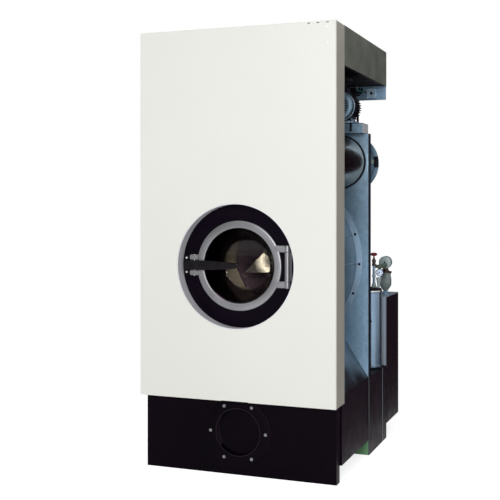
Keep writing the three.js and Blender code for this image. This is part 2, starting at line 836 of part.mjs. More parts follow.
/** The round air return from the fan casing into the tub, seen from an axis at [x, z]. */
function returnDuctSpace(radius, x = 0, z = 0) {
  const [dx, dz] = [fanX, fanHeight - drumHeight];
  const length = Math.hypot(dx, dz);
  const geometry = new THREE.CylinderGeometry(radius, radius, length, medium);
  geometry.rotateZ(Math.atan2(dz, dx) - Math.PI / 2);
  geometry.rotateX(Math.PI / 2);
  geometry.translate(dx / 2 - x, returnDepth, dz / 2 - z);
  return solid(geometry);
}

/** The spigot for the air return, welded to the tub and ending at the fan casing. */
function returnDuct() {
  const fanSpace = rod(fanCasingRadius + seatGap, 0, machineDepth,
    { at: [fanX, 0, fanHeight - drumHeight], facets: fine });
  const tubSpace = rod(tubRadius - tankSheet / 2, 0, machineDepth, { facets: fine });
  return returnDuctSpace(returnRadius).subtract(fanSpace).subtract(tubSpace);
}

function tubRing() {
  const inner = tubRadius + seatGap;
  const front = tubBack - tubRingThickness;
  const boltCircle = inner + tubRingWidth / 2;
  const ring = pipe(inner + tubRingWidth, inner, front, tubBack, { facets: fine });
  let joined = ring;
  for (let i = 0; i < tubBoltCount; i += 1) {
    const angle = THREE.MathUtils.degToRad(tubBoltAngle + (360 * i) / tubBoltCount);
    const [x, z] = [boltCircle * Math.cos(angle), boltCircle * Math.sin(angle)];
    const overHopper = z < hopperTop - drumHeight && Math.abs(x) < hopperTopHalf + tubRingWidth;
    if (!overHopper) joined = joined.add(boltHead(tubBoltRadius, front - tubBoltRadius, front + 1, x, z));
  }
  const hopperSpace = hopperSides(-2 * seatGap, baseTop + seatGap, drumHeight);
  return joined.subtract(plate(hopperSpace, hopperFront, bulkheadFace));
}

function drum() {
  const s = tankSheet;
  const r = drumRadius;
  const shell = turned([
    [drumMouthRadius, drumFront], [r - drumLipDepth, drumFront + drumLipDepth / 2],
    [r, drumFront + drumLipDepth], [r, drumBack], [drumHubRadius, drumBack],
    [0, drumBack], [0, drumBack - s], [drumHubRadius, drumBack - s - drumDish * 0.2],
    [r - s, drumBack - s - drumDish * 0.2], [r - s, drumFront + drumLipDepth + 1],
    [r - drumLipDepth - 1, drumFront + drumLipDepth / 2 + s], [drumMouthRadius, drumFront + s],
  ], { facets: fine });
  const lifter = outline([
    [-lifterWidth / 2, -r + 1.5], [lifterWidth / 2, -r + 1.5], [9, -r + lifterHeight],
    [-9, -r + lifterHeight],
  ]);
  const bar = (turn) => plate(lifter, drumFront + drumLipDepth + 8, drumBack - 2, turn);
  const spread = THREE.MathUtils.degToRad(15);
  const rib = outline([[18, -4], [r * 0.86, -(r * 0.86) * Math.tan(spread) - 5],
    [r * 0.86, -(r * 0.86) * Math.tan(spread) + 5], [30, 0],
    [r * 0.86, (r * 0.86) * Math.tan(spread) - 5], [r * 0.86, (r * 0.86) * Math.tan(spread) + 5],
    [18, 4]]);
  const ribs = (turn) => plate(rib, drumBack - s - ribHeight, drumBack - 1, turn);
  return shell.add(around(ribCount, 40, bar)).add(around(ribCount, 0, ribs));
}

const hubFront = drumBack + seatGap;
const shaftEnd = drumPulleyFront + pulleyWidth + 14;
const drumPlane = drumPulleyFront + pulleyWidth / 2;

function drumShaft() {
  return turned([
    [0, hubFront], [drumHubRadius, hubFront], [drumHubRadius, hubFront + drumHubThickness],
    [drumShaftRadius + 12, hubFront + drumHubThickness], [drumShaftRadius + 4, hubFront + 22],
    [drumShaftRadius, hubFront + 22], [drumShaftRadius, shaftEnd], [0, shaftEnd],
  ], { facets: medium });
}

function bearingHousing() {
  const bore = drumShaftRadius + boreGap;
  const flangeFront = bulkheadFace + tankSheet + seatGap;
  const flangeBack = flangeFront + 12;
  const body = turned([
    [bore, bulkheadFace - 4], [bearingBarrelRadius, bulkheadFace - 4],
    [bearingBarrelRadius, flangeFront], [bearingFlangeRadius, flangeFront],
    [bearingFlangeRadius, flangeBack], [bearingBarrelRadius, flangeBack],
    [bearingBarrelRadius - 6, bearingBarrelEnd], [bore, bearingBarrelEnd],
  ], { facets: medium });
  const gusset = outline([[-5, bearingBarrelRadius - 8], [5, bearingBarrelRadius - 8],
    [5, bearingFlangeRadius - 6], [-5, bearingFlangeRadius - 6]]);
  return body.add(around(6, 0, (turn) => plate(gusset, flangeBack - 1, flangeBack + gussetLength, turn)));
}

piece(drumGroup, 'tub', tub(), 'blackPaint');
piece(drumGroup, 'tub_ring', tubRing(), 'galvanised');
piece(drumGroup, 'drum', drum(), 'stainless');
piece(drumGroup, 'drum_shaft', drumShaft(), 'brightSteel');
piece(drumGroup, 'bearing_housing', bearingHousing(), 'castGrey');
piece(drumGroup, 'drum_pulley',
  pulley(drumPulleyRadius, pulleyHubRadius, drumShaftRadius + seatGap, drumPlane, fine), 'castGrey');

// ---- Drum motor ---------------------------------------------------------------------------

const drumMotorGroup = axisGroup(drumMotorX, drumMotorHeight);

function drumMotor() {
  const r = drumMotorRadius;
  const base = baseTop + seatGap - drumMotorHeight;
  const body = turned([
    [drumMotorShaftRadius + boreGap, drumMotorFront], [r * 0.6, drumMotorFront],
    [r, drumMotorFront + 14], [r, drumMotorBack - 16], [r * 0.85, drumMotorBack], [0, drumMotorBack],
    [0, drumMotorFront + 40], [drumMotorShaftRadius + boreGap, drumMotorFront + 40],
  ], { facets: medium });
  const y0 = drumMotorFront + 22;
  const y1 = drumMotorBack - 30;
  const foot = block([-r * 0.9, r * 0.9], [y0, y1], [base, base + 10]);
  const legs = block([-r * 0.62, r * 0.62], [y0 + 10, y1 - 10], [base + 9, -r * 0.7]);
  const terminalBox = block([-42, 42], [y0 + 15, y1 - 25], [r * 0.8, r + 34]);
  return body.add(foot).add(legs).add(terminalBox);
}

piece(drumMotorGroup, 'drum_motor', drumMotor(), 'castGrey');
piece(drumMotorGroup, 'drum_motor_pulley', keyedPulley(drumMotorPulleyRadius, drumMotorShaftRadius,
  drumPulleyFront - 6, drumMotorFront + 39, drumPlane), 'castGrey');
piece(machine, 'drum_belt', belt([0, drumHeight], drumPulleyRadius,
  [drumMotorX, drumMotorHeight], drumMotorPulleyRadius, drumPlane, 30), 'rubber');

// ---- Door, handle and latch ---------------------------------------------------------------

const ringBack = doorRingFront + doorRingThickness;
const hingeAxis = { axis: 'z', at: [hingeX, hingeDepth, 0], facets: coarse };

function doorRing() {
  const rebate = glassFlangeRadius + seatGap;
  const lip = doorRingFront + 3.7;
  const ring = turned([
    [doorRingBore, doorRingFront + 2], [doorRingBore + 3, doorRingFront],
    [doorRingRadius - 3, doorRingFront], [doorRingRadius, doorRingFront + 2],
    [doorRingRadius, ringBack], [rebate, ringBack], [rebate, lip], [doorRingBore, lip],
  ], { facets: fine });
  const bore = rod(doorRingRadius - 6, 0, tubFront, { facets: fine });
  const pinHole = (x, y, radius) => rod(radius + seatGap, -machineHeight, machineHeight,
    { axis: 'z', at: [x, y, 0], facets: coarse });
  let body = ring;
  for (const side of [-1, 1]) {
    const [low, high] = side > 0 ? [hingeArmInner, hingeArmOuter] : [-hingeArmOuter, -hingeArmInner];
    const arm = block([doorRingRadius / 2, hingeX], [doorRingFront, ringBack], [low, high]);
    const knuckle = rod(knuckleRadius, low, high, hingeAxis);
    const [lugLow, lugHigh] = side > 0 ? [lugInner, lugOuter] : [-lugOuter, -lugInner];
    const lug = block([-latchX - lugReach, -doorRingRadius / 2],
      [latchDepth - lugRise, ringBack], [lugLow, lugHigh]);
    const armRoom = arm.add(lug).subtract(bore);
    body = body.add(armRoom).add(knuckle);
  }
  return body.subtract(pinHole(hingeX, hingeDepth, hingePinRadius))
    .subtract(pinHole(-latchX, latchDepth, latchPinRadius));
}

function doorGlass() {
  const front = doorRingFront + 4;
  const back = front + 4;
  const t = glassThickness;
  return turned([
    [doorRingBore - t, front], [glassFlangeRadius, front], [glassFlangeRadius, back],
    [doorRingBore, back], [glassEndRadius + 5, glassDepth - 3], [glassEndRadius, glassDepth],
    [0, glassDepth], [0, glassDepth - t], [glassEndRadius - t, glassDepth - t],
  ], { facets: fine });
}

function hingeBracket() {
  const half = hingeArmInner - 1;
  const barrel = rod(knuckleRadius, -half, half, hingeAxis);
  const foot = block([hingeX - hingeFootWidth / 2, hingeX + hingeFootWidth / 2],
    [hingeDepth + 8, tubFront - seatGap], [-half, half]);
  const bore = rod(hingePinRadius + seatGap, -half - 1, half + 1, hingeAxis);
  return barrel.add(foot).subtract(bore);
}

function doorHandle() {
  const root = handleRoot / 2;
  const tip = handleTip / 2;
  const front = latchDepth - 3 - handleThickness;
  const face = new THREE.Shape();
  face.moveTo(-latchX - handleNose, -root);
  face.lineTo(-latchX + 60, -root);
  face.lineTo(-latchX + handleLength - tip, -tip);
  face.absarc(-latchX + handleLength - tip, 0, tip, -Math.PI / 2, Math.PI / 2, false);
  face.lineTo(-latchX + 60, root);
  face.lineTo(-latchX - handleNose, root);
  face.closePath();
  const lever = plate(face, front, front + handleThickness);
  const nose = block([-latchX - handleNose, -latchX + latchPinRadius + 6],
    [latchDepth - handleNoseDepth / 2, latchDepth + handleNoseDepth / 2], [-root, root]);
  const bore = rod(latchPinRadius + seatGap, -root - 1, root + 1,
    { axis: 'z', at: [-latchX, latchDepth, 0], facets: coarse });
  return lever.add(nose).subtract(bore);
}

function latchKeeper() {
  const back = tubFront - seatGap;
  const slot = lugInner + 1;
  const bridge = keeperOuter - 12;
  const body = block([-keeperOuter, -keeperInner], [keeperFront, back], [-keeperHeight, keeperHeight]);
  const noseSpace = block([-bridge, 0], [0, tubFront], [-slot, slot]);
  let joined = body.subtract(noseSpace);
  for (const side of [-1, 1]) {
    joined = joined.add(rod(keeperBoltRadius, keeperFront - 4, keeperFront + 1,
      { at: [-keeperOuter + 16, 0, side * keeperBoltOffset], facets: coarse }));
  }
  return joined;
}

const pinReach = 2; // beyond the knuckles or lugs

piece(drumGroup, 'door_ring', doorRing(), 'castAluminium');
piece(drumGroup, 'door_glass', doorGlass(), 'glass');
piece(drumGroup, 'door_seal',
  pipe(sealOuter, sealInner, ringBack + seatGap, tubFront - seatGap, { facets: fine }), 'rubber');
piece(drumGroup, 'hinge_bracket', hingeBracket(), 'castAluminium');
piece(drumGroup, 'hinge_pin', rod(hingePinRadius, -hingeArmOuter - pinReach, hingeArmOuter + pinReach,
  { axis: 'z', at: [hingeX, hingeDepth, 0], facets: coarse }), 'brightSteel');
piece(drumGroup, 'door_handle', doorHandle(), 'blackPlastic');
piece(drumGroup, 'latch_pin', rod(latchPinRadius, -lugOuter - pinReach, lugOuter + pinReach,
  { axis: 'z', at: [-latchX, latchDepth, 0], facets: coarse }), 'brightSteel');
piece(drumGroup, 'latch_keeper', latchKeeper(), 'blackPaint');

// ---- Lint filter above the tub ------------------------------------------------------------

function filterHousing() {
  const w = filterHalfWidth;
  const s = ductSheet;
  const shell = block([-w, w], [filterFront, filterBack], [drumHeight, filterTop]);
  const inside = block([-w + s, w - s], [filterFront + s, filterBack - s], [drumHeight - 1, filterTop - s]);
  const tubSpace = rod(tubRadius + seatGap, 0, machineDepth, { at: [0, 0, drumHeight], facets: fine });
  const drawerMouth = block([-w - 1, -w + s + 1],
    [filterFront + s, filterBack - s], [drawerBottom - slideGap, drawerBottom + drawerHeight + slideGap]);
  const outlet = rod(sleeveRadius - sleeveWall, w - s - 1, w + 1,
    { axis: 'x', at: [0, (filterFront + filterBack) / 2, fanHeight + sleeveRise], facets: medium });
  let body = shell.subtract(inside);
  const runnerTop = drawerBottom - slideGap;
  for (const [y0, y1] of [[filterFront + 1, filterFront + s + runnerWidth],
    [filterBack - s - runnerWidth, filterBack - 1]]) {
    body = body.add(block([-w + s, w - s - 1], [y0, y1], [runnerTop - runnerHeight, runnerTop]));
  }
  return body.subtract(drawerMouth).subtract(outlet).subtract(tubSpace);
}

function filterDrawer() {
  const w = filterHalfWidth;
  const edge = ductSheet + slideGap;
  const [y0, y1] = [filterFront + edge, filterBack - edge];
  const bottom = drawerBottom - slideGap + seatGap;
  const top = drawerBottom + drawerHeight;
  const tray = block([-w + seatGap, w - ductSheet - 12], [y0, y1], [bottom, top]);
  const inside = block([-w + 6, w - ductSheet - 16], [y0 + 4, y1 - 4], [bottom + 2, top + 1]);
  const grip = block([-w - 24, -w + 1], [(y0 + y1) / 2 - 50, (y0 + y1) / 2 + 50], [top - 30, top - 22]);
  return tray.subtract(inside).add(grip);
}

function ductSleeve() {
  const tube = pipe(sleeveRadius, sleeveRadius - sleeveWall, filterHalfWidth - ductSheet / 2, fanX,
    { axis: 'x', at: [0, (filterFront + filterBack) / 2, fanHeight + sleeveRise], facets: medium });
  return tube.subtract(rod(fanCasingRadius + seatGap, 0, machineDepth,
    { at: [fanX, 0, fanHeight], facets: fine }));
}

piece(machine, 'lint_filter_housing', filterHousing().add(ductSleeve()), 'galvanised');
piece(machine, 'lint_filter_drawer', filterDrawer(), 'lightGrey');

// ---- Fan line -----------------------------------------------------------------------------

const fanGroup = axisGroup(fanX, fanHeight);
const bearingFace = bulkheadFace + tankSheet + seatGap;
const fanBearingEnd = beltPlane - pulleyWidth / 2 - 4;
const fanShaftEnd = beltPlane + pulleyWidth / 2 + 10;

function fanCasing() {
  const s = thinSheet;
  const r = fanCasingRadius;
  const shell = turned([
    [0, fanCasingFront], [r - 4, fanCasingFront], [r, fanCasingFront + 4], [r, bulkheadFace - seatGap],
    [r - s, bulkheadFace - seatGap], [r - s, fanCasingFront + s + 4], [r - s - 4, fanCasingFront + s],
    [0, fanCasingFront + s],
  ], { facets: fine });
  const inlet = rod(sleeveRadius - sleeveWall, -fanX, -fanCasingRadius / 2,
    { axis: 'x', at: [0, (filterFront + filterBack) / 2, sleeveRise], facets: medium });
  const outlet = returnDuctSpace(returnRadius - thinSheet, fanX, fanHeight - drumHeight);
  return shell.subtract(inlet).subtract(outlet);
}

function impeller() {
  const r = impellerRadius;
  const back = impellerFront + impellerDepth;
  const bore = fanShaftRadius + seatGap;
  const wheel = turned([
    [bore, impellerFront + 10], [26, impellerFront + 10], [30, back - 4], [r, back - 4], [r, back],
    [bore, back],
  ], { facets: medium });
  const blades = around(bladeCount, 0, (angle) => {
    const geometry = new THREE.BoxGeometry(r * 0.62, impellerDepth - 4, 3);
    geometry.rotateY(0.35);
    geometry.translate(r * 0.63, impellerFront + impellerDepth / 2, 0);
    geometry.rotateY(angle);
    return solid(geometry);
  });
  return wheel.add(blades);
}

function fanBearing() {
  const bore = fanShaftRadius + boreGap;
  return turned([
    [bore, bulkheadFace - 3], [fanBearingRadius, bulkheadFace - 3], [fanBearingRadius, bearingFace],
    [fanBearingFlange, bearingFace], [fanBearingFlange, bearingFace + 8],
    [fanBearingRadius, bearingFace + 8], [fanBearingRadius - 4, fanBearingEnd], [bore, fanBearingEnd],
  ], { facets: medium });
}

function fanGuard() {
  const s = thinSheet;
  const r = guardWallRadius;
  const inner = guardRimRadius - guardRimWidth;
  const back = guardRim + guardRimThickness;
  const shell = turned([
    [r - s, bearingFace], [r, bearingFace], [r, guardRim], [inner, guardRim],
    [inner, guardRim - guardRimRise], [guardRimRadius, guardRim - guardRimRise],
    [guardRimRadius, back], [0, back], [0, guardRim], [r - s, guardRim],
  ], { facets: fine });
  const beltSlot = block([-r, r + 10], [beltPlane - pulleyWidth, beltPlane + pulleyWidth], [20, r + 10]);
  return shell.subtract(beltSlot);
}

piece(fanGroup, 'fan_casing', fanCasing(), 'stainless');
piece(fanGroup, 'fan_impeller', impeller(), 'castAluminium');
piece(fanGroup, 'fan_bearing', fanBearing(), 'castGrey');
piece(fanGroup, 'fan_shaft', keyedPulley(fanPulleyRadius, fanShaftRadius,
  fanShaftFront, fanShaftEnd, beltPlane), 'brightSteel');
piece(fanGroup, 'fan_guard', fanGuard(), 'galvanised');

const sensorLift = 6; // above the fan's axis
const sensorSize = 26;

function speedSensor() {
  const back = guardRim - guardRimRise - seatGap;
  const join = guardRimRadius - 16;
  const stem = rod(8, guardWallRadius + seatGap, join + 1,
    { axis: 'x', at: [0, back - 13, sensorLift], facets: coarse });
  const body = block([join, guardRimRadius], [back - sensorSize, back],
    [sensorLift - sensorSize, sensorLift + sensorSize]);
  return stem.add(body);
}

// ---- Top motor ----------------------------------------------------------------------------

const motorGroup = axisGroup(motorX, motorHeight);
const motorBase = railUp - motorHeight;
const motorFoot = 8; // thickness
const tensionX = 39;
const tensionRadius = 4;
const tensionDepth = railFront - 12;

function fanMotor() {
  const r = motorCoreRadius;
  const bore = motorShaftRadius + boreGap;
  const core = turned([
    [0, motorFront], [cowlRadius, motorFront], [cowlRadius, motorFront + 8], [r, motorFront + 8],
    [r, motorBack - 10], [r - 16, motorBack], [bore, motorBack],
    [bore, motorBack - 36], [0, motorBack - 36],
  ], { facets: medium });
  const fins = around(finCount, 0, (angle) => {
    const geometry = new THREE.BoxGeometry(motorFinRadius - r + 4, motorBack - motorFront - 24, 5);
    geometry.translate((motorFinRadius + r - 4) / 2, (motorFront + motorBack) / 2 - 6, 0);
    geometry.rotateY(angle);
    return solid(geometry);
  });
  const boltHole = rod(tensionRadius + seatGap, motorBase - 1, motorBase + motorFoot + 1,
    { axis: 'z', at: [tensionX, tensionDepth, 0], facets: coarse });
  const foot = block([-54, 54], [motorFront + 14, motorBack - 20], [motorBase, motorBase + motorFoot])
    .subtract(boltHole);
  const legs = block([-28, 28], [motorFront + 22, motorBack - 28], [motorBase + 7, -r * 0.8]);
  const terminalBox = block([-34, 20], [motorFront + 30, motorBack - 40], [r * 0.85, motorFinRadius + 28]);
  return core.add(fins).add(foot).add(legs).add(terminalBox);
}

function motorCowl() {
  const back = motorFront - seatGap;
  const front = back - cowlDepth;
  const shell = turned([
    [0, front], [cowlRadius - 10, front], [cowlRadius, front + 10], [cowlRadius, back],
    [cowlRadius - thinSheet, back], [cowlRadius - thinSheet, front + 11],
    [cowlRadius - 11, front + thinSheet], [0, front + thinSheet],
  ], { facets: medium });
  let body = shell;
  const through = [front - 1, front + thinSheet + 1];
  for (let row = -3; row <= 3; row += 1) {
    const height = row * cowlSlotPitch;
    const half = Math.sqrt(cowlGrilleRadius ** 2 - height ** 2);
    const slot = [height - cowlSlotHalf, height + cowlSlotHalf];
    body = body.subtract(block([-half, -cowlRibHalf], through, slot));
    body = body.subtract(block([cowlRibHalf, half], through, slot));
  }
  return body;
}

function tensionBolt() {
  const front = railFront - seatGap;
  const axis = { axis: 'z', at: [tensionX, tensionDepth, 0], facets: coarse };
  const head = motorBase + motorFoot + seatGap;
  const stud = rod(tensionRadius, motorBase - 38, head + 1, axis);
  const nut = rod(2 * tensionRadius, head, head + 7, { ...axis, facets: 6 });
  const lockNut = rod(2 * tensionRadius, motorBase - 20, motorBase - 12, { ...axis, facets: 6 });
  const cleat = block([tensionX - 14, tensionX + 14], [tensionDepth - 10, front],
    [motorBase - 30, motorBase - 19]);
  return stud.add(nut).add(lockNut).add(cleat);
}

piece(motorGroup, 'fan_motor', fanMotor(), 'castGrey');
piece(motorGroup, 'fan_motor_cowl', motorCowl(), 'galvanised');
piece(motorGroup, 'fan_motor_pulley', keyedPulley(motorPulleyRadius, motorShaftRadius,
  motorBack - 34, beltPlane + pulleyWidth / 2 + 6, beltPlane), 'castGrey');
piece(motorGroup, 'tension_bolt', tensionBolt(), 'blackPlastic');
piece(machine, 'fan_belt', belt([fanX, fanHeight], fanPulleyRadius, [motorX, motorHeight],
  motorPulleyRadius, beltPlane, 20), 'rubber');
piece(fanGroup, 'speed_sensor', speedSensor(), 'blackPlastic');

// ---- Services at the right rear -----------------------------------------------------------

const capTop = vesselTop + 14;

function filterVessel() {
  return turned([
    [0, baseTop + seatGap], [vesselRadius - 6, baseTop + seatGap], [vesselRadius, baseTop + 10],
    [vesselRadius, vesselTop], [vesselRadius + 3, vesselTop], [vesselRadius + 3, capTop - 3],
    [vesselRadius - 2, capTop], [0, capTop],
  ], { axis: 'z', at: [vesselX, vesselDepth, 0], facets: medium });
}

piece(machine, 'filter_vessel', filterVessel(), 'galvanised');

function ventPipe() {
  const at = { axis: 'z', at: [ventX, vesselDepth, 0] };
  const tube = rod(ventRadius, capTop + seatGap, ventTop, { ...at, facets: coarse });
  const foot = rod(12, capTop + seatGap, capTop + 12, { ...at, facets: 6 });
  const valve = rod(11, ventTop - 30, ventTop, { ...at, facets: 8 });
  const stem = rod(4, ventTop - 1, ventTop + 22, { ...at, facets: coarse });
  return tube.add(foot).add(valve).add(stem);
}

function valveHandle() {
  const z0 = ventTop + 24;
  const hub = rod(9, z0 - 1.7, z0 + 11, { axis: 'z', at: [ventX, vesselDepth, 0], facets: coarse });
  const bar = block([ventX - 22, ventX + 22], [vesselDepth - 7, vesselDepth + 7], [z0 + 1, z0 + 10]);
  return hub.add(bar);
}

piece(machine, 'vent_pipe', ventPipe(), 'lightGrey');
piece(machine, 'valve_handle', valveHandle(), 'redPlastic');

const gaugeCase = 18;
const needleHub = 1.5;
const needleZero = 135; // degrees to the left of straight up
const servicePipeRadius = 9;
const servicePipeRise = 29.5; // above the gauge's axis
const servicePipeHeight = gaugeHeight + servicePipeRise;

function gauge() {
  const r = gaugeRadius;
  const dial = gaugeDepth + 5;
  const body = turned([
    [0, dial], [r - 2, dial], [r - 2, gaugeDepth], [r, gaugeDepth],
    [r, gaugeDepth + gaugeCase], [0, gaugeDepth + gaugeCase],
  ], { facets: fine });
  const hub = rod(needleHub, dial - 2.5, dial + 1, { facets: 8 });
  const stem = rod(5, r - 2, servicePipeHeight - servicePipeRadius - seatGap - gaugeHeight,
    { axis: 'z', at: [0, gaugeDepth + gaugeCase / 2, 0], facets: coarse });
  return body.add(stem).add(hub);
}

function gaugeNeedle() {
  const [y0, y1] = [gaugeDepth + 2.8, gaugeDepth + 3.8];
  const blade = plate(outline([[-1.2, -5], [1.2, -5], [0.4, 13], [-0.4, 13]]), y0, y1,
    THREE.MathUtils.degToRad(-needleZero));
  const eye = rod(needleHub + 2, y0, y1, { facets: coarse });
  return blade.add(eye).subtract(rod(needleHub + seatGap, y0 - 1, y1 + 1, { facets: 8 }));
}

function servicePipe() {
  const end = regulatorDepth - 20 - seatGap;
  const at = { at: [gaugeX, 0, servicePipeHeight], facets: coarse };
  const tube = rod(servicePipeRadius, gaugeDepth - 8, end, at);
  const collar = rod(13, end - 60, end - 40, { ...at, facets: 6 });
  return tube.add(collar);
}

const gaugeGroup = axisGroup(gaugeX, gaugeHeight);

piece(gaugeGroup, 'gauge', gauge(), 'dialWhite');
piece(gaugeGroup, 'gauge_needle', gaugeNeedle(), 'blackPlastic');
piece(machine, 'service_pipe', servicePipe(), 'valveGrey');

const headFront = regulatorDepth - 20;
const headBack = regulatorDepth + 20;
const bonnetTop = regulatorHeight - 12;
const bonnetBottom = regulatorHeight - 53;
const bodyBottom = rearBoxTop + 18;

function regulatorHead() {
  const r = regulatorRadius;
  const at = { at: [regulatorX, 0, regulatorHeight], facets: medium };
  return turned([
    [0, headFront], [r - 3, headFront], [r, headFront + 3], [r, headBack], [0, headBack],
  ], at);
}

function regulatorBonnet() {
  const at = { axis: 'z', at: [regulatorX, regulatorDepth, 0], facets: medium };
  const neck = turned([
    [0, bonnetBottom - 1], [29, bonnetBottom - 1], [29, bonnetBottom + 5], [15, bonnetBottom + 6],
    [15, bonnetTop], [0, bonnetTop],
  ], at);
  return neck.subtract(rod(regulatorRadius + seatGap, headFront - 30, headBack + 30,
    { at: [regulatorX, 0, regulatorHeight], facets: medium }));
}

function regulatorBody() {
  const top = bonnetBottom;
  const at = { axis: 'z', at: [regulatorX, regulatorDepth, 0] };
  const body = turned([
    [0, bodyBottom], [12, bodyBottom], [30, bodyBottom + 30], [31, bodyBottom + 58], [26, top - 10],
    [29, top - 6], [29, top], [0, top],
  ], { ...at, facets: 8 });
  const pipeDown = rod(10, rearBoxTop + seatGap, bodyBottom + 6, { ...at, facets: coarse });
  const flange = rod(20, rearBoxTop + seatGap, rearBoxTop + 6, { ...at, facets: coarse });
  return body.add(pipeDown).add(flange).add(regulatorBonnet());
}

piece(machine, 'regulator_head', regulatorHead(), 'valveGrey');
piece(machine, 'regulator_body', regulatorBody(), 'valveGrey');

// ---- Cables and hoses under the top box ---------------------------------------------------

const cableTop = boxBottom + thinSheet;
const terminalTop = motorHeight + motorFinRadius + 28 + seatGap;

const cableRadius = 6;
const cableShift = 24; // to the right, between the motor and the top box
const cableReach = 53; // to the rear
const terminalMiddle = 65; // of the terminal box, behind the motor's front
const cableStart = [motorX - cableShift / 3, motorFront + terminalMiddle];
const cableEnd = [cableStart[0] + cableShift, cableStart[1] + cableReach];

piece(machine, 'motor_cable', hose([
  [...cableStart, terminalTop],
  [...cableStart, terminalTop + 10],
  [cableStart[0] + cableShift / 2, cableStart[1] + cableReach * 0.36, terminalTop + 22],
  [cableEnd[0] - 2, cableEnd[1] - cableRadius, cableTop - 16],
  [...cableEnd, cableTop - 8],
  [...cableEnd, cableTop],
], cableRadius, 12, 8), 'rubber');

const hoseRadius = 3.5;
const hoseStart = switchX - switchSize / 2 - seatGap;
const hoseEnd = hoseStart - 44;
const hoseDepth = trayFront - switchDepth / 2;
const hoseEndDepth = hoseDepth - 39;
const hoseHeight = switchHeight + 8;

piece(machine, 'air_hose', hose([
  [hoseStart, hoseDepth, hoseHeight],
  [hoseStart - 12, hoseDepth, hoseHeight],
  [hoseStart - 30, hoseDepth - 11, hoseHeight + 4],
  [hoseEnd + 2, hoseEndDepth + 6, hoseHeight + 12],
  [hoseEnd, hoseEndDepth, cableTop - 8],
  [hoseEnd, hoseEndDepth, cableTop],
], hoseRadius, 16, 6), 'greenHose');

export default part;
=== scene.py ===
import json
from math import acos, atan2, cos, hypot, pi, radians, sin, sqrt

import bmesh
import bpy
from mathutils import Matrix, Vector
from mathutils.geometry import tessellate_polygon

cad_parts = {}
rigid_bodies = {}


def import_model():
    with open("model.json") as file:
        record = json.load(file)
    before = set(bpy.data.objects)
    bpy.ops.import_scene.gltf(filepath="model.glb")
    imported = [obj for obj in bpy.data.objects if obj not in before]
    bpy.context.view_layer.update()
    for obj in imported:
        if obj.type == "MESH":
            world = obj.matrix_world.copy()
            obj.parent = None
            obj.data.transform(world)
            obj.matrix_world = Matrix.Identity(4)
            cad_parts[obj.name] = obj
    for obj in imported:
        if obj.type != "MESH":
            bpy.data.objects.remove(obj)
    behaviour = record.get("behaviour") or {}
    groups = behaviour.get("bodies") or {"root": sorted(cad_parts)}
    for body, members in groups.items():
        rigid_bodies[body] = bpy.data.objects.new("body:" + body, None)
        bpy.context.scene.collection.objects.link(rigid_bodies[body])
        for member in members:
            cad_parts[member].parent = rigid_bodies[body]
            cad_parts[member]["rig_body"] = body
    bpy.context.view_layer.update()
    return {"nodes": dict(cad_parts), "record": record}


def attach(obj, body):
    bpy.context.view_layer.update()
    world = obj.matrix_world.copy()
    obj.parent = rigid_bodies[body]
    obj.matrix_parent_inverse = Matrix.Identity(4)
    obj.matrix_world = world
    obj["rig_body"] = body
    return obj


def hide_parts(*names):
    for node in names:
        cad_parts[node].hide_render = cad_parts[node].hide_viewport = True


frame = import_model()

# Pieces are drawn in millimetres: X across, D the depth behind the front panel's face, Z up.
FRONT = -0.6  # row Y of the front panel's face, in metres
MM = 0.001
WHOLE = 2 * pi
AXIS = (0, 0, 902)  # of the drum, the door's ring and the panel's hole


def linked(name, data):
    """A new object in the scene."""
    obj = bpy.data.objects.new(name, data)
    bpy.context.scene.collection.objects.link(obj)
    return obj


# ---- Camera ----

camera = linked("camera", bpy.data.cameras.new("camera"))
camera.location = (1.5143, -4.3696, 1.1759)
camera.rotation_euler = (radians(90), 0, radians(20.94))
camera.data.sensor_width = 36
camera.data.lens = 68.55
camera.data.shift_y = -0.0953
bpy.context.scene.camera = camera
bpy.context.scene.view_settings.view_transform = "Standard"

# ---- Materials ----

BUMP_DEPTH = 0.0002  # of the surface relief, in metres


def linear(red, green, blue):
    """A colour given as 0 to 255 values, as linear light."""
    def one(value):
        c = value / 255
        return c / 12.92 if c <= 0.04045 else ((c + 0.055) / 1.055) ** 2.4
    return (one(red), one(green), one(blue), 1)


def shade(colour, factor):
    return (*(min(1, c * factor) for c in linear(*colour)[:3]), 1)


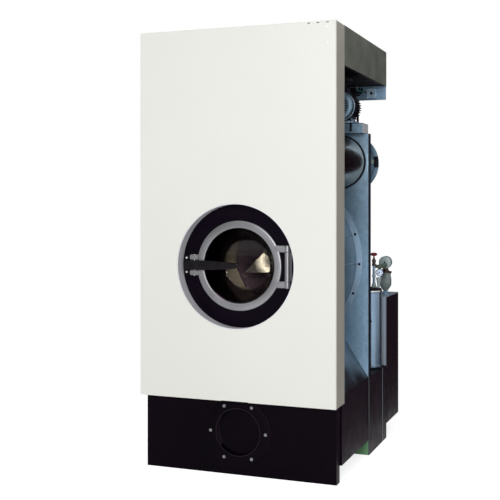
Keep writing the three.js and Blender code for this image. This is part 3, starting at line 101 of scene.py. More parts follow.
class Tree:
    """A material's nodes, added and linked in one call each."""

    def __init__(self, name):
        self.material = bpy.data.materials.new(name)
        self.material.use_nodes = True
        self.nodes = self.material.node_tree.nodes
        self.links = self.material.node_tree.links
        self.shader = self.nodes["Principled BSDF"]

    def feed(self, socket, value):
        """Links a socket to another one, or gives it a plain value."""
        if isinstance(value, bpy.types.NodeSocket):
            self.links.new(value, socket)
        else:
            socket.default_value = value

    def fill(self, node, inputs):
        for key, value in inputs.items():
            self.feed(node.inputs[key.replace("_", " ")], value)
        return node

    def add(self, kind, **inputs):
        return self.fill(self.nodes.new("ShaderNode" + kind), inputs)

    def object_space(self, scale=(1, 1, 1), offset=(0, 0, 0)):
        place = self.add("TexCoord").outputs["Object"]
        return self.add("Mapping", Vector=place, Scale=scale, Location=offset).outputs[0]

    def height(self):
        return self.add("SeparateXYZ", Vector=self.object_space()).outputs[2]

    def from_axis(self):
        """The place from the drum's axis, as x, y, z and the distance from that axis."""
        x, y, z = self.add("SeparateXYZ", Vector=self.object_space(offset=(0, 0, -AXIS[2] * MM))).outputs
        squares = self.math("ADD", self.math("MULTIPLY", x, x), self.math("MULTIPLY", z, z))
        return x, y, z, self.math("SQRT", squares)

    def noise(self, scale, detail, stretch=(1, 1, 1), rough=0.5):
        return self.add("TexNoise", Vector=self.object_space(stretch), Scale=scale, Detail=detail,
            Roughness=rough).outputs["Fac"]

    def spread(self, value, low, high, start=0.3, end=0.7):
        """A value from start to end, led over to one from low to high."""
        return self.add("MapRange", Value=value, From_Min=start, From_Max=end, To_Min=low, To_Max=high).outputs[0]

    def blend(self, factor, low, high):
        node = self.add("Mix")
        node.data_type = "RGBA"
        for index, value in ((0, factor), (6, low), (7, high)):
            self.feed(node.inputs[index], value)
        return node.outputs[2]

    def mottled(self, colour, low, high, scale, detail):
        """A colour that drifts between two shades of itself."""
        return self.blend(self.spread(self.noise(scale, detail), 0, 1), shade(colour, low), shade(colour, high))

    def math(self, operation, first, second=0.0):
        node = self.add("Math")
        node.operation = operation
        self.feed(node.inputs[0], first)
        self.feed(node.inputs[1], second)
        return node.outputs[0]

    def bump(self, height, strength):
        return self.add("Bump", Height=height, Strength=strength, Distance=BUMP_DEPTH).outputs[0]

    def set(self, **inputs):
        self.fill(self.shader, inputs)
        return self.material


def choose(nodes, links, factor, first, second, output="Material Output"):
    """Leads the first shader to the output where the factor is 0, and the second where it is 1."""
    mix = nodes.new("ShaderNodeMixShader")
    for socket, source in zip(mix.inputs, (factor, first, second)):
        links.new(source, socket)
    links.new(mix.outputs[0], nodes[output].inputs[0])


def coated(name, colour, roughness, patch=0.06, patch_scale=3.0, peel=0.25, specular=0.4, dust=0.0,
           dust_colour=None, side=None):
    """A painted sheet: slow drift, orange peel, a little dust; side is (axis, sign, colour): painted light or shade
    on the faces that face one way.
    """
    tree = Tree(name)
    base = tree.mottled(colour, 1 - patch, 1 + patch, patch_scale, 5)
    if dust:
        speck = tree.spread(tree.noise(22, 8, rough=0.7), 0, dust, 0.48, 0.75)
        base = tree.blend(speck, base, dust_colour)
    # Painted light and shade: faces that face one way get another colour.
    if side:
        axis, sign, painted_light_colour = side
        way = tree.add("SeparateXYZ", Vector=tree.add("NewGeometry").outputs["Normal"])
        facing = tree.math("MULTIPLY", way.outputs[axis], sign)
        base = tree.blend(tree.math("GREATER_THAN", facing, 0.8), base, painted_light_colour)
    fine = tree.noise(420, 2)
    rough = tree.spread(tree.noise(14, 6), roughness - 0.06, roughness + 0.08)
    return tree.set(Base_Color=base, Roughness=rough, Specular_IOR_Level=specular, Normal=tree.bump(fine, peel))


def zinc(name, colour, roughness=0.42, spangle=0.07, foot=1.0):
    """Galvanised sheet: zinc flowers of differing grey and faint upright streaks, paler by foot below."""
    tree = Tree(name)
    cells = tree.add("TexVoronoi", Vector=tree.object_space(), Scale=90).outputs["Color"]
    flower = tree.spread(tree.add("SeparateColor", Color=cells).outputs[0], 0, 1, 0, 1)
    base = tree.blend(flower, shade(colour, 1 - spangle), shade(colour, 1 + spangle))
    if foot != 1:
        below = tree.blend(flower, shade(colour, (1 - spangle) * foot), shade(colour, (1 + spangle) * foot))
        base = tree.blend(tree.spread(tree.height(), 1, 0, 0.7, 0.98), base, below)
    lines = tree.spread(tree.noise(1, 3, (60, 60, 0.8)), 0, 1)
    base = tree.blend(tree.math("MULTIPLY", lines, 0.14), base, shade(colour, 0.45))
    rough = tree.spread(flower, roughness - 0.07, roughness + 0.07, 0, 1)
    grain = tree.noise(260, 3)
    return tree.set(Base_Color=base, Metallic=0.4, Roughness=rough, Normal=tree.bump(grain, 0.12))


def hopper_coat():
    """Dull zinc that goes over into near black towards its bottom."""
    tree = Tree("hopper_sheet")
    cloud = tree.spread(tree.noise(9, 6), -0.05, 0.05)
    darker_below = tree.spread(tree.math("ADD", tree.height(), cloud), 1, 0, 0.38, 0.56)
    drift = tree.spread(tree.noise(4, 5), 0, 1)
    sheet = tree.blend(drift, linear(106, 136, 160), linear(136, 166, 192))
    rough = tree.spread(tree.noise(20, 5), 0.42, 0.58)
    return tree.set(Base_Color=tree.blend(darker_below, sheet, linear(15, 10, 18)), Metallic=0.2, Roughness=rough,
        Normal=tree.bump(tree.noise(300, 3), 0.2))


def star_steel():
    """The drum's star, with a painted highlight in a band round its middle and dark out to its tips."""
    tree = Tree("drum_star_steel")
    highlight_band_radius = 0.058
    off = tree.math("ABSOLUTE", tree.math("SUBTRACT", tree.from_axis()[3], highlight_band_radius))
    near = tree.math("POWER", tree.spread(off, 1, 0, 0.002, 0.045), 2.0)
    # Painted highlight: bright steel in the band, dark steel elsewhere.
    base = tree.blend(near, linear(30, 27, 24), linear(118, 111, 96))
    fine = tree.noise(90, 3)
    rough = tree.spread(fine, 0.24, 0.38)
    return tree.set(Base_Color=base, Metallic=1.0, Roughness=rough, Normal=tree.bump(fine, 0.06))


def metal(name, colour, roughness, grain_scale=300, grain=0.2, stretch=(1, 1, 1), drift=0.08, metallic=1.0):
    """Bare metal: brushed where stretch is long on one axis, grainy as cast otherwise."""
    tree = Tree(name)
    base = tree.mottled(colour, 1 - drift, 1 + drift, 7, 5)
    fine = tree.noise(grain_scale, 3, stretch)
    rough = tree.spread(fine, roughness - 0.06, roughness + 0.08)
    return tree.set(Base_Color=base, Metallic=metallic, Roughness=rough, Normal=tree.bump(fine, grain))


def moulded(name, colour, roughness, specular=0.5, grain=0.1, scale=700, sheen=0.0):
    tree = Tree(name)
    base = tree.mottled(colour, 0.85, 1.2, 12, 4)
    rough = tree.spread(tree.noise(30, 5), roughness - 0.05, roughness + 0.08)
    return tree.set(Base_Color=base, Roughness=rough, Specular_IOR_Level=specular, Sheen_Weight=sheen,
        Normal=tree.bump(tree.noise(scale, 2), grain))


def drum_steel():
    """Steel painted dark as shade of the drum's inside, darker still on the shell, with a staggered grid of holes
    round the shell.
    """
    tree = Tree("drum_steel")
    x, y, z, radius = tree.from_axis()
    holes_round, pitch, shell_from = 120, 0.018, 0.335
    across = tree.math("MULTIPLY", tree.math("ARCTAN2", z, x), holes_round / WHOLE)
    along = tree.math("DIVIDE", y, pitch)
    grid = tree.add("CombineXYZ", X=across, Y=along).outputs[0]
    dots = tree.add("TexVoronoi", Vector=grid, Scale=1.0, Randomness=0.0).outputs["Distance"]
    on_shell = tree.math("GREATER_THAN", radius, shell_from)
    hole = tree.math("MULTIPLY", tree.math("LESS_THAN", dots, 0.24), on_shell)
    # The steel's dark colour is painted shade of the drum's inside.
    steel = (40, 28, 36)
    base = tree.mottled(steel, 0.7, 1.2, 9, 5)
    # Painted shade: the shell is darker still.
    base = tree.blend(tree.math("MULTIPLY", on_shell, 0.8), base, shade(steel, 0.3))
    base = tree.blend(hole, base, (0.004, 0.003, 0.004, 1))
    rough = tree.spread(tree.noise(1, 3, (12, 300, 12)), 0.4, 0.52)
    return tree.set(Base_Color=base, Metallic=0.4, Roughness=rough, Specular_IOR_Level=0.1,
        Specular_Tint=(0.3, 0.24, 0.28, 1))


def clear_glass(name, tint):
    """Glass with faint smears, which lets the light of lamps through to what is behind it."""
    tree = Tree(name)
    smear = tree.spread(tree.noise(16, 6, rough=0.65), 0.0, 0.02, 0.45, 0.8)
    tree.set(Base_Color=tint(tree), Roughness=smear, IOR=1.2, Transmission_Weight=1.0)
    through = tree.add("BsdfTransparent", Color=(0.9, 0.93, 0.93, 1)).outputs[0]
    shadow = tree.add("LightPath").outputs["Is Shadow Ray"]
    choose(tree.nodes, tree.links, shadow, tree.shader.outputs[0], through)
    return tree.material


def bowl_tint(tree):
    """The bowl's slanting wall is tinted dark as painted shade, since thick glass seen at a slant looks darker than
    its flat end.
    """
    # Painted shade: a dark tint on the slanting wall.
    wall = tree.spread(tree.from_axis()[3], 0, 1, 0.104, 0.114)
    return tree.blend(wall, (0.84, 0.83, 0.84, 1), (0.2, 0.16, 0.22, 1))


# The white's faces that face +X are darker: painted shade on its right side.
WHITE = coated("white_coat", (232, 232, 225), 0.42, patch=0.018, patch_scale=1.4, peel=0.3, specular=0.35,
    side=(0, 1, linear(210, 204, 192)))
COLLAR = coated("collar_coat", (232, 232, 236), 0.42, patch=0.04, peel=0.2)
# The black's faces that face +X are lighter: painted light on its right side.
BLACK = coated("black_coat", (9, 4, 11), 0.42, patch=0.3, peel=0.45, specular=0.03, dust=0.02,
    dust_colour=linear(58, 50, 60), side=(0, 1, linear(44, 32, 42)))
TUB_FACE = coated("tub_face_coat", (10, 4, 15), 0.4, patch=0.25, peel=0.3, specular=0.04)
# The top box's faces that face down are near black: painted shade under it.
OLIVE = coated("top_box_coat", (124, 127, 117), 0.5, patch=0.25, patch_scale=7, peel=0.35, dust=0.5,
    dust_colour=linear(100, 88, 84), specular=0.15, side=(2, -1, linear(32, 14, 27)))
ZINC = zinc("zinc_sheet", (124, 152, 174), foot=1.34)
ZINC_LIGHT = zinc("zinc_light", (164, 190, 212), roughness=0.36, spangle=0.05)
ZINC_DARK = zinc("zinc_dark", (92, 116, 134), spangle=0.08)
TUBING = metal("plated_tube", (132, 154, 176), 0.3, 160, 0.06, (1, 1, 0.05), metallic=0.85)
HOPPER = hopper_coat()
POLISHED = metal("polished_steel", (168, 154, 138), 0.16, 60, 0.05, (1, 40, 1), 0.06)
# The drum's steels are dark as painted shade of its inside: the rim's steel is a darker copy of the back's, and the
# star's bright band is a painted highlight.
DRUM = drum_steel()
DRUM_BACK = metal("drum_back_steel", (84, 68, 72), 0.18, 90, 0.06, drift=0.25)
DRUM_STAR = star_steel()
DRUM_RIM = metal("drum_rim_steel", (48, 43, 34), 0.34, 60, 0.06, drift=0.5)
CREASE = metal("crease_shade", (20, 13, 18), 0.4, 200, 0.1, drift=0.3)
CAST = metal("cast_aluminium", (130, 130, 133), 0.36, 420, 0.35, drift=0.18, metallic=0.7)
BRIGHT = metal("bright_steel", (214, 214, 210), 0.22, 200, 0.08, drift=0.04)
GREY = coated("light_grey_coat", (172, 182, 196), 0.45, patch=0.08, peel=0.2)
GLASS = clear_glass("door_glass", bowl_tint)
LENS = clear_glass("lens_glass", lambda tree: (0.96, 0.97, 0.97, 1))
GLOSS = moulded("black_moulding", (11, 7, 13), 0.3, specular=0.2)
RUBBER = moulded("black_rubber", (20, 16, 21), 0.72, specular=0.1, grain=0.35, scale=500, sheen=0.04)
RED = moulded("red_grip", (128, 20, 36), 0.42, grain=0.2)
VALVE = coated("valve_coat", (128, 142, 140), 0.34, patch=0.2, patch_scale=30, peel=0.5, specular=0.6)
VALVE_PALE = coated("valve_pale", (176, 190, 190), 0.36, patch=0.1, patch_scale=30, peel=0.4)
VALVE_OLIVE = coated("valve_olive", (98, 112, 96), 0.42, patch=0.2, patch_scale=30, peel=0.4)
# Dark edge lines; on the rail's underside and the bulkhead's right edge they are painted shade.
NAVY_BLACK = moulded("edge_trim", (22, 26, 40), 0.5, specular=0.2, grain=0.2)
NAVY = coated("navy_coat", (34, 42, 74), 0.4, patch=0.2, patch_scale=20, peel=0.3)
BRASS = metal("dull_brass", (92, 80, 76), 0.4, 260, 0.15, drift=0.15, metallic=0.7)
BRONZE = metal("dark_bronze", (58, 40, 38), 0.42, 260, 0.2, drift=0.2, metallic=0.5)
DIAL = moulded("dial_face", (208, 220, 250), 0.3, grain=0.02)
GREEN_PLATE = coated("green_plate", (104, 150, 108), 0.5, patch=0.1, peel=0.3)
GREEN = moulded("green_hose", (34, 96, 84), 0.35, grain=0.1)
IRON = coated("grey_casting", (84, 90, 94), 0.55, patch=0.15, patch_scale=14, peel=0.7, specular=0.35)
MOTOR_DARK = coated("motor_coat", (22, 20, 27), 0.5, patch=0.2, patch_scale=14, peel=0.5, specular=0.1)

FINISHES = {
    "white_paint": WHITE, "collar_grey": COLLAR, "black_paint": BLACK, "olive_paint": OLIVE, "galvanised": ZINC,
    "dark_steel": HOPPER, "stainless": POLISHED, "cast_aluminium": CAST, "bright_steel": BRIGHT, "light_grey": GREY,
    "glass": GLASS, "black_plastic": GLOSS, "rubber": RUBBER, "red_plastic": RED, "valve_grey": VALVE,
    "dial_white": DIAL, "green_hose": GREEN, "cast_grey": IRON,
}

# ---- Mesh helpers ----

new = bmesh.new


def drawing(draw):
    """Lets a drawing start its own bmesh where it isn't given one to add to."""
    def begin(*words, **named):
        if words and isinstance(words[0], bmesh.types.BMesh):
            return draw(*words, **named)
        return draw(new(), *words, **named)
    return begin


def spot(axis, at, u, v, t):
    """A point whose distance along the named axis is t, and across it u and v."""
    x, d, z = at
    return {"y": (x + u, d + t, z + v), "z": (x + u, d + v, z + t), "x": (x + t, d + u, z + v)}[axis]


@drawing
def lathe(bm, profile, axis="y", at=(0, 0, 0), n=96, phase=0.0):
    """Turns [radius, distance] pairs round an axis; a profile that starts off the axis is closed."""
    rings = []
    for r, t in profile:
        count = n if r > 1e-6 else 1
        rings.append([bm.verts.new(spot(axis, at, r * cos(WHOLE * i / n + phase),
                                        r * sin(WHOLE * i / n + phase), t)) for i in range(count)])
    pairs = list(zip(rings, rings[1:]))
    if profile[0][0] > 1e-6:
        pairs.append((rings[-1], rings[0]))
    for a, b in pairs:
        if len(a) == 1 and len(b) == 1:
            continue
        for i in range(n):
            j = (i + 1) % n
            corners = [a[0], b[i], b[j]] if len(a) == 1 else [a[i], a[j], b[0]] if len(b) == 1 \
                else [a[i], a[j], b[j], b[i]]
            bm.faces.new(corners)
    return bm


@drawing
def turned(bm, profile, axis="y", at=(0, 0, 0), n=96, phase=0.0):
    """A lathe drawing whose flat ends reach the axis."""
    return lathe(bm, [[0, profile[0][1]], *profile, [0, profile[-1][1]]], axis, at, n, phase)


@drawing
def rod(bm, radius, t0, t1, axis="y", at=(0, 0, 0), n=48):
    return turned(bm, [[radius, t0], [radius, t1]], axis, at, n)


@drawing
def tube(bm, outer, inner, t0, t1, axis="y", at=(0, 0, 0), n=96):
    return lathe(bm, [[inner, t0], [outer, t0], [outer, t1], [inner, t1]], axis, at, n)


@drawing
def box(bm, x, d, z):
    corners = [bm.verts.new((a, b, c)) for a in x for b in d for c in z]
    for face in ((0, 1, 3, 2), (4, 6, 7, 5), (0, 4, 5, 1), (2, 3, 7, 6), (0, 2, 6, 4), (1, 5, 7, 3)):
        bm.faces.new([corners[i] for i in face])
    return bm


@drawing
def plate(bm, outline, d0, d1, turn=0.0, at=(0, 0, 0)):
    """An outline in X and Z between two depths, turned about the depth axis."""
    flat = [Vector((u, v, 0)) for u, v in outline]
    c, s = cos(turn), sin(turn)
    near, far = [[bm.verts.new((at[0] + p.x * c + p.y * s, d, at[2] - p.x * s + p.y * c)) for p in flat]
                 for d in (d0, d1)]
    for tri in tessellate_polygon([flat]):
        bm.faces.new([near[i] for i in tri])
        bm.faces.new([far[i] for i in reversed(tri)])
    for a in range(len(flat)):
        b = (a + 1) % len(flat)
        bm.faces.new([near[a], near[b], far[b], far[a]])
    return bm


def smooth_path(points, steps):
    """Points along a Catmull-Rom curve through the given ones."""
    p = [Vector(q) for q in points]
    p = [2 * p[0] - p[1], *p, 2 * p[-1] - p[-2]]
    out = []
    for i in range(1, len(p) - 2):
        for k in range(steps):
            t = k / steps
            a, b, c, d = p[i - 1:i + 3]
            out.append(0.5 * (2 * b + (c - a) * t + (2 * a - 5 * b + 4 * c - d) * t ** 2
                              + (3 * b - a - 3 * c + d) * t ** 3))
    return [*out, p[-2]]


@drawing
def hose(bm, points, radius, steps, n):
    """A round tube along a smooth path."""
    path = smooth_path(points, steps)
    normal = Vector((0, 1, 0))
    rings = []
    for i, p in enumerate(path):
        ahead = (path[min(i + 1, len(path) - 1)] - path[max(i - 1, 0)]).normalized()
        normal = (normal - ahead * normal.dot(ahead))
        normal = normal.normalized() if normal.length > 1e-4 else ahead.orthogonal().normalized()
        side = ahead.cross(normal)
        rings.append([bm.verts.new(p + normal * radius * cos(WHOLE * k / n)
                                   + side * radius * sin(WHOLE * k / n)) for k in range(n)])
    for a, b in zip(rings, rings[1:]):
        for k in range(n):
            j = (k + 1) % n
            bm.faces.new([a[k], a[j], b[j], b[k]])
    bm.faces.new(rings[0])
    bm.faces.new(rings[-1])
    return bm


def bolt(bm, radius, height, axis, at, out=-1, phase=0.0):
    """A chamfered hexagon head on a washer; out is which way along the axis it stands."""
    wash, tall = out * height * 0.28, out * height
    turned(bm, [[radius * 1.35, 0], [radius * 1.35, wash]], axis, at, 28)
    return turned(bm, [[radius, wash * 0.9], [radius, tall * 0.85], [radius * 0.86, tall]], axis, at, 6, phase)


def dome(bm, radius, height, axis, at, out=-1, n=28):
    """A pan head screw with a small round recess."""
    h = out * height
    return turned(bm, [[radius * 0.34, h * 0.55], [radius * 0.38, h], [radius * 0.7, h * 0.9],
        [radius * 0.95, h * 0.5], [radius, 0]], axis, at, n)


def ring_of(count, radius, start=0.0, at=(0, 0, 0)):
    """Places on a circle in X and Z: (x, z, angle)."""
    for i in range(count):
        a = radians(start) + WHOLE * i / count
        yield at[0] + radius * cos(a), at[2] + radius * sin(a), a


def bolt_ring(bm, count, radius, at, depth, size, out=-1, start=0.0):
    """Bolts on a circle, whose size is the radius and height of their heads."""
    for x, z, a in ring_of(count, radius, start, at):
        bolt(bm, *size, "y", (x, depth, z), out, a)
    return bm


def round_edges(bm, width, segments=3, angle=40):
    bmesh.ops.recalc_face_normals(bm, faces=bm.faces)
    bm.normal_update()
    sharp = [e for e in bm.edges if len(e.link_faces) == 2 and e.calc_face_angle(0) > radians(angle)]
    bmesh.ops.bevel(bm, geom=sharp, offset=width, segments=segments, affect="EDGES", clamp_overlap=True)
    return bm


def mesh_of(bm, name="part"):
    bmesh.ops.recalc_face_normals(bm, faces=bm.faces)
    mesh = bpy.data.meshes.new(name)
    bm.to_mesh(mesh)
    return mesh


def boolean(bm, tool, operation):
    """Cuts or joins two closed bmeshes and gives a new one."""
    objects = [linked("part", mesh_of(b)) for b in (bm, tool)]
    modifier = objects[0].modifiers.new("cut", "BOOLEAN")
    modifier.operation, modifier.object, modifier.solver = operation, objects[1], "EXACT"
    result = new()
    evaluated = objects[0].evaluated_get(bpy.context.evaluated_depsgraph_get())
    result.from_mesh(evaluated.to_mesh())
    for o in objects:
        mesh = o.data
        bpy.data.objects.remove(o)
        bpy.data.meshes.remove(mesh)
    return result


def cut(bm, *tools):
    for tool in tools:
        bm = boolean(bm, tool, "DIFFERENCE")
    return bm


def join(bm, tool):
    return boolean(bm, tool, "UNION")


def soften(obj, width, segments, limit):
    """Rounds the edges that are sharper than a limit in degrees, by a width in millimetres."""
    edge = obj.modifiers.new("edges", "BEVEL")
    edge.width = width * MM
    edge.segments = segments
    edge.limit_method = "ANGLE"
    edge.angle_limit = radians(limit)
    return edge


SLOTS = {row["node"]: row["material_slot"] for row in frame["record"]["subparts"]}


def piece(name, bm, finish, stands_for=None, like=None, bevel=0.0, segments=2, sharp=35, limit=30):
    """Turns a drawing in millimetres into a piece with the given finish, on the body of the node it stands for or is
    like.
    """
    node = stands_for or like
    body = frame["nodes"][node]["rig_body"] if node else "machine"
    mesh = mesh_of(bm, name)
    mesh.transform(Matrix.Translation((0, FRONT, 0)) @ Matrix.Scale(MM, 4))
    mesh.polygons.foreach_set("use_smooth", [True] * len(mesh.polygons))
    mesh.set_sharp_from_angle(angle=radians(sharp))
    obj = linked(name, mesh)
    mesh.materials.append(finish)
    if bevel:
        soften(obj, bevel, segments, limit).harden_normals = True
    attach(obj, body)
    if stands_for:
        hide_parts(stands_for)


# ---- CAD nodes that stay ----

for node, obj in frame["nodes"].items():
    obj.data.materials.clear()
    obj.data.materials.append(FINISHES[SLOTS[node]])

SOFT_EDGES = {
    "base_front_plate": 1.2, "base_tank": 1.2, "sump_hopper": 1.0, "rear_base": 1.2, "rear_box": 0.9,
    "rear_box_lid": 1.2, "corner_post": 0.8, "bulkhead": 1.0, "motor_rail": 0.9, "control_box": 0.9,
    "cable_tray": 0.6, "lint_filter_housing": 0.8, "lint_filter_drawer": 0.8, "contactor_bank": 0.8,
}
for node, width in SOFT_EDGES.items():
    obj = frame["nodes"][node]
    obj.modifiers.new("weld", "WELD").merge_threshold = 0.00001
    soften(obj, width, 2, 50)

# ---- Front panel and collar ----

COVER = (0, 0, 185)  # the inspection cover's middle
top_slots = new()
for x in (332, 372, 413):
    box(top_slots, (x - 6, x + 6), (-1, 2.6), (1916.4, 1919.6))
piece("front_panel_shell", cut(round_edges(box((-450, 450), (0, 131), (324, 1925)), 2.6),
    box((-434, 434), (127, 135), (340, 1909)), round_edges(box((-448, 448), (2, 129), (326, 1923)), 1.0),
    box((-448, 448), (48.7, 140), (320, 363)), rod(153, 2, 135, at=COVER, n=96), rod(270, -2, 5, at=AXIS, n=160),
    top_slots), WHITE, "front_panel", bevel=0.5, limit=50)

panel_screws = new()
for z in (1901, 1835):
    dome(panel_screws, 2.6, 1.0, "y", (411, 0, z), n=20)
piece("front_panel_screws", panel_screws, BRIGHT)

piece("door_collar_ring", lathe([[265.7, 2.2], [265.9, 0.9], [266.8, 0.5], [268.9, 0.5], [269.7, 1.2], [269.7, 2.3],
    [283.7, 2.3], [283.7, 4.3], [269.7, 4.3], [269.7, 61.7], [267.7, 61.7], [267.7, 4], [266.2, 3.2]], at=AXIS,
    n=160), COLLAR, "door_collar")

# ---- Base and inspection cover ----

piece("cover_gasket_ring", tube(150, 112.3, 46.7, 48.7, at=COVER, n=128), RUBBER, "cover_gasket", bevel=0.4)
piece("inspection_cover_bolts", bolt_ring(new(), 6, 127, COVER, 40.6, (5.2, 6.4)), CAST,
    bevel=0.4)
piece("inspection_cover_dish", turned([[97, 79.4], [100, 78.4], [101, 76], [101, 41.8], [102.4, 40.4], [147, 40.4],
    [149.4, 41.2], [150, 43], [150, 46.4], [104, 46.4], [104, 79], [101, 82.4]], at=COVER, n=128), BLACK,
    "inspection_cover", bevel=0.5)

side_screws = new()
for d, z in ((1072, 220), (934, 351), (866, 238), (978, 111)):
    dome(side_screws, 4.5, 1.6, "x", (450, d, z), out=1)
piece("base_side_screws", side_screws, IRON)
for name, finish, inner, d0, d1 in (("front", IRON, 447, 560.4, 563.4), ("rear", GREY, 449, 833, 837)):
    strip = box((inner, 450.5), (d0, d1), (3, 361))
    piece("base_seam_strip_" + name, strip, finish, bevel=0.3)
# A green plate on the rear base's front face, below the tank.
piece("rear_base_skirt", box((-446, 446), (560.6, 561.8), (1, 70)), GREEN_PLATE, bevel=0.3)

piece("inspection_cover_edge", tube(103.4, 101.2, 39.6, 40.9, at=COVER, n=128), GLOSS)

# ---- Tub, its ring, drum, drum motor ----

# The axes of the fan, of its motor and of the drum's motor.
FAN, MOTOR, DRUM_MOTOR = (308, 0, 1365), (342, 0, 1616), (-250, 0, 470)
run, rise = FAN[0] - AXIS[0], FAN[2] - AXIS[2]
duct_angle = atan2(rise, run)
duct_length = hypot(run, rise)


@drawing
def duct(bm, radius, start, end, n=48):
    """A cylinder from the drum's axis towards the fan's, in the plane of the air return."""
    way = Vector((cos(duct_angle), 0, sin(duct_angle)))
    side = Vector((-way.z, 0, way.x))
    origin = Vector(AXIS) + Vector((0, 300, 0))
    rings = [[bm.verts.new(origin + way * t + side * radius * cos(WHOLE * k / n)
                           + Vector((0, radius * sin(WHOLE * k / n), 0))) for k in range(n)]
             for t in (start, end)]
    for k in range(n):
        j = (k + 1) % n
        bm.faces.new([rings[0][k], rings[0][j], rings[1][j], rings[1][k]])
    bm.faces.new(rings[0])
    bm.faces.new(rings[1])
    return bm


piece("tub_face", lathe([[177, 63.2], [178.2, 62], [384, 62], [389.9, 65.5], [389.9, 70], [387, 70], [387, 65],
    [177, 65]], at=AXIS, n=160), TUB_FACE, "tub", bevel=0.3)
shell_profile = [[387, 70], [390, 70]]
for seam in (190, 330, 470):
    shell_profile += [[390, seam - 3], [389, seam - 2], [389, seam + 2], [390, seam + 3]]
shell_profile += [[390, 559.7], [387, 559.7]]
piece("tub_shell", cut(lathe(shell_profile, at=AXIS, n=160), box((-110, 110), (200, 499.7), (511, 707)),
    box((-140, 140), (220, 480), (1097, 1293)), duct(38, 300, 420)), ZINC_DARK, bevel=0.4,
    limit=50)
piece("air_return_spigot", cut(duct(40, 386.5, duct_length), duct(38, 380, duct_length + 5),
    rod(123.3, 0, 700, at=FAN, n=128)), ZINC_DARK, bevel=0.4, limit=50)
seams = new()
for degrees in (18.4, -0.9, 142, 221):
    x, z, a = next(ring_of(1, 390.2, degrees, AXIS))
    rod(seams, 2.2, 70, 556.5, at=(x, 0, z), n=16)
piece("tub_weld_seams", seams, ZINC)

hopper_space = plate([(-446.6, 362), (446.6, 362), (266.6, 642), (-266.6, 642)], 140, 562)
piece("tub_flange_ring", cut(tube(417.3, 390.3, 556.7, 559.7, at=AXIS, n=160), hopper_space), ZINC_LIGHT, "tub_ring",
    bevel=0.4, limit=50)
bolts = new()
for x, z, a in ring_of(18, 403.8, -2, AXIS):
    if z > 642 or abs(x) > 293:  # clear of the hopper
        bolt(bolts, 4.6, 4.6, "y", (x, 556.7, z), phase=a)
piece("tub_ring_bolts", bolts, MOTOR_DARK, bevel=0.25)

drum_profile = [[190, 97.5], [191.5, 96], [195, 96.4], [319, 109], [329, 112], [339, 117.5], [344, 122.5], [345, 127],
    [345, 508], [342, 514], [336, 516], [0, 516], [0, 514], [334, 514], [340, 511], [342, 503], [342, 128],
    [340.5, 122.5], [334, 117], [318, 112], [190, 99]]
piece("drum_shell", lathe(drum_profile, at=AXIS, n=160), DRUM, "drum", bevel=0.3, limit=50)
lifters = new()
for i in range(3):
    turn = radians(40 + 120 * i)
    plate(lifters, [(-42, -341.5), (42, -341.5), (14, -292), (10, -286), (4, -283), (-4, -283), (-10, -286),
        (-14, -292)], 130, 511, turn=turn, at=AXIS)
piece("drum_lifters", lifters, DRUM, like="drum", bevel=3, segments=3)
DISH = [[0, 511.2], [100, 506], [182, 498.5], [190, 496.4], [250, 472.2], [262, 470], [334, 466], [341, 464]]
for name, finish, rows in (("dish", DRUM_BACK, DISH[:4]), ("rim", DRUM_RIM, DISH[3:])):
    back = lathe(rows + [[r, d + 2.6] for r, d in reversed(rows)], at=AXIS, n=160)
    piece("drum_back_" + name, back, finish, like="drum")


def dish_depth(radius):
    for (r0, d0), (r1, d1) in zip(DISH, DISH[1:]):
        if r0 <= radius <= r1:
            return d0 + (d1 - d0) * (radius - r0) / (r1 - r0)


def crease(bm, start, end, half=2.1, steps=24):
    """A dark strip along a fold pressed in the drum's back, painted shade, which follows its dish between two points
    in X and Z.
    """
    start, end = Vector(start), Vector(end)
    side = (end - start).orthogonal().normalized() * half
    rows = []
    for i in range(steps + 1):
        p = start.lerp(end, i / steps)
        rows.append([bm.verts.new((q.x, dish_depth(p.length) + lift, AXIS[2] + q.y))
                     for q, lift in ((p - side, -0.7), (p + side, -0.7), (p + side, 1.5), (p - side, 1.5))])
    for a, b in zip(rows, rows[1:]):
        for k in range(4):
            bm.faces.new([a[k], a[k - 3], b[k - 3], b[k]])
    bm.faces.new(rows[0])
    bm.faces.new(rows[-1])


# The fold strips are dark as painted shade in the folds of the drum's back.
fold_shade, star = new(), new()
STAR_TIP, STAR_NECK, STAR_SLOPE, CHORD, CHORD_HALF = 160, 60, 0.227, 181, 150
for i in range(3):
    a = radians(205 + 120 * i)
    out, across = Vector((cos(a), sin(a))), Vector((-sin(a), cos(a)))
    corners = []
    for turn in (-60, 60):
        b = a + radians(turn)
        corners += [(STAR_NECK * cos(b), STAR_NECK * sin(b))]
        crease(fold_shade, out * STAR_TIP, corners[-1])
    crease(fold_shade, out * CHORD - across * CHORD_HALF, out * CHORD + across * CHORD_HALF, 1.6)
    kite = [Vector(c) for c in ((0, 0), corners[0], out * STAR_TIP, corners[1])]
    rows = [[star.verts.new((c.x, depth, AXIS[2] + c.y)) for c, depth in
             ((c, 509 - STAR_SLOPE * c.dot(out) if top else 512) for c in kite)] for top in (True, False)]
    star.faces.new(rows[0])
    star.faces.new(reversed(rows[1]))
    for k in range(4):
        star.faces.new([rows[0][k], rows[0][k - 1], rows[1][k - 1], rows[1][k]])
lathe(fold_shade, [[r, dish_depth(r) + lift] for r, lift in ((185, -0.7), (189, -0.7), (189, 1), (185, 1))], at=AXIS,
      n=160)
piece("drum_back_star", star, DRUM_STAR, like="drum", bevel=1.5)
piece("drum_back_folds", fold_shade, CREASE, like="drum")

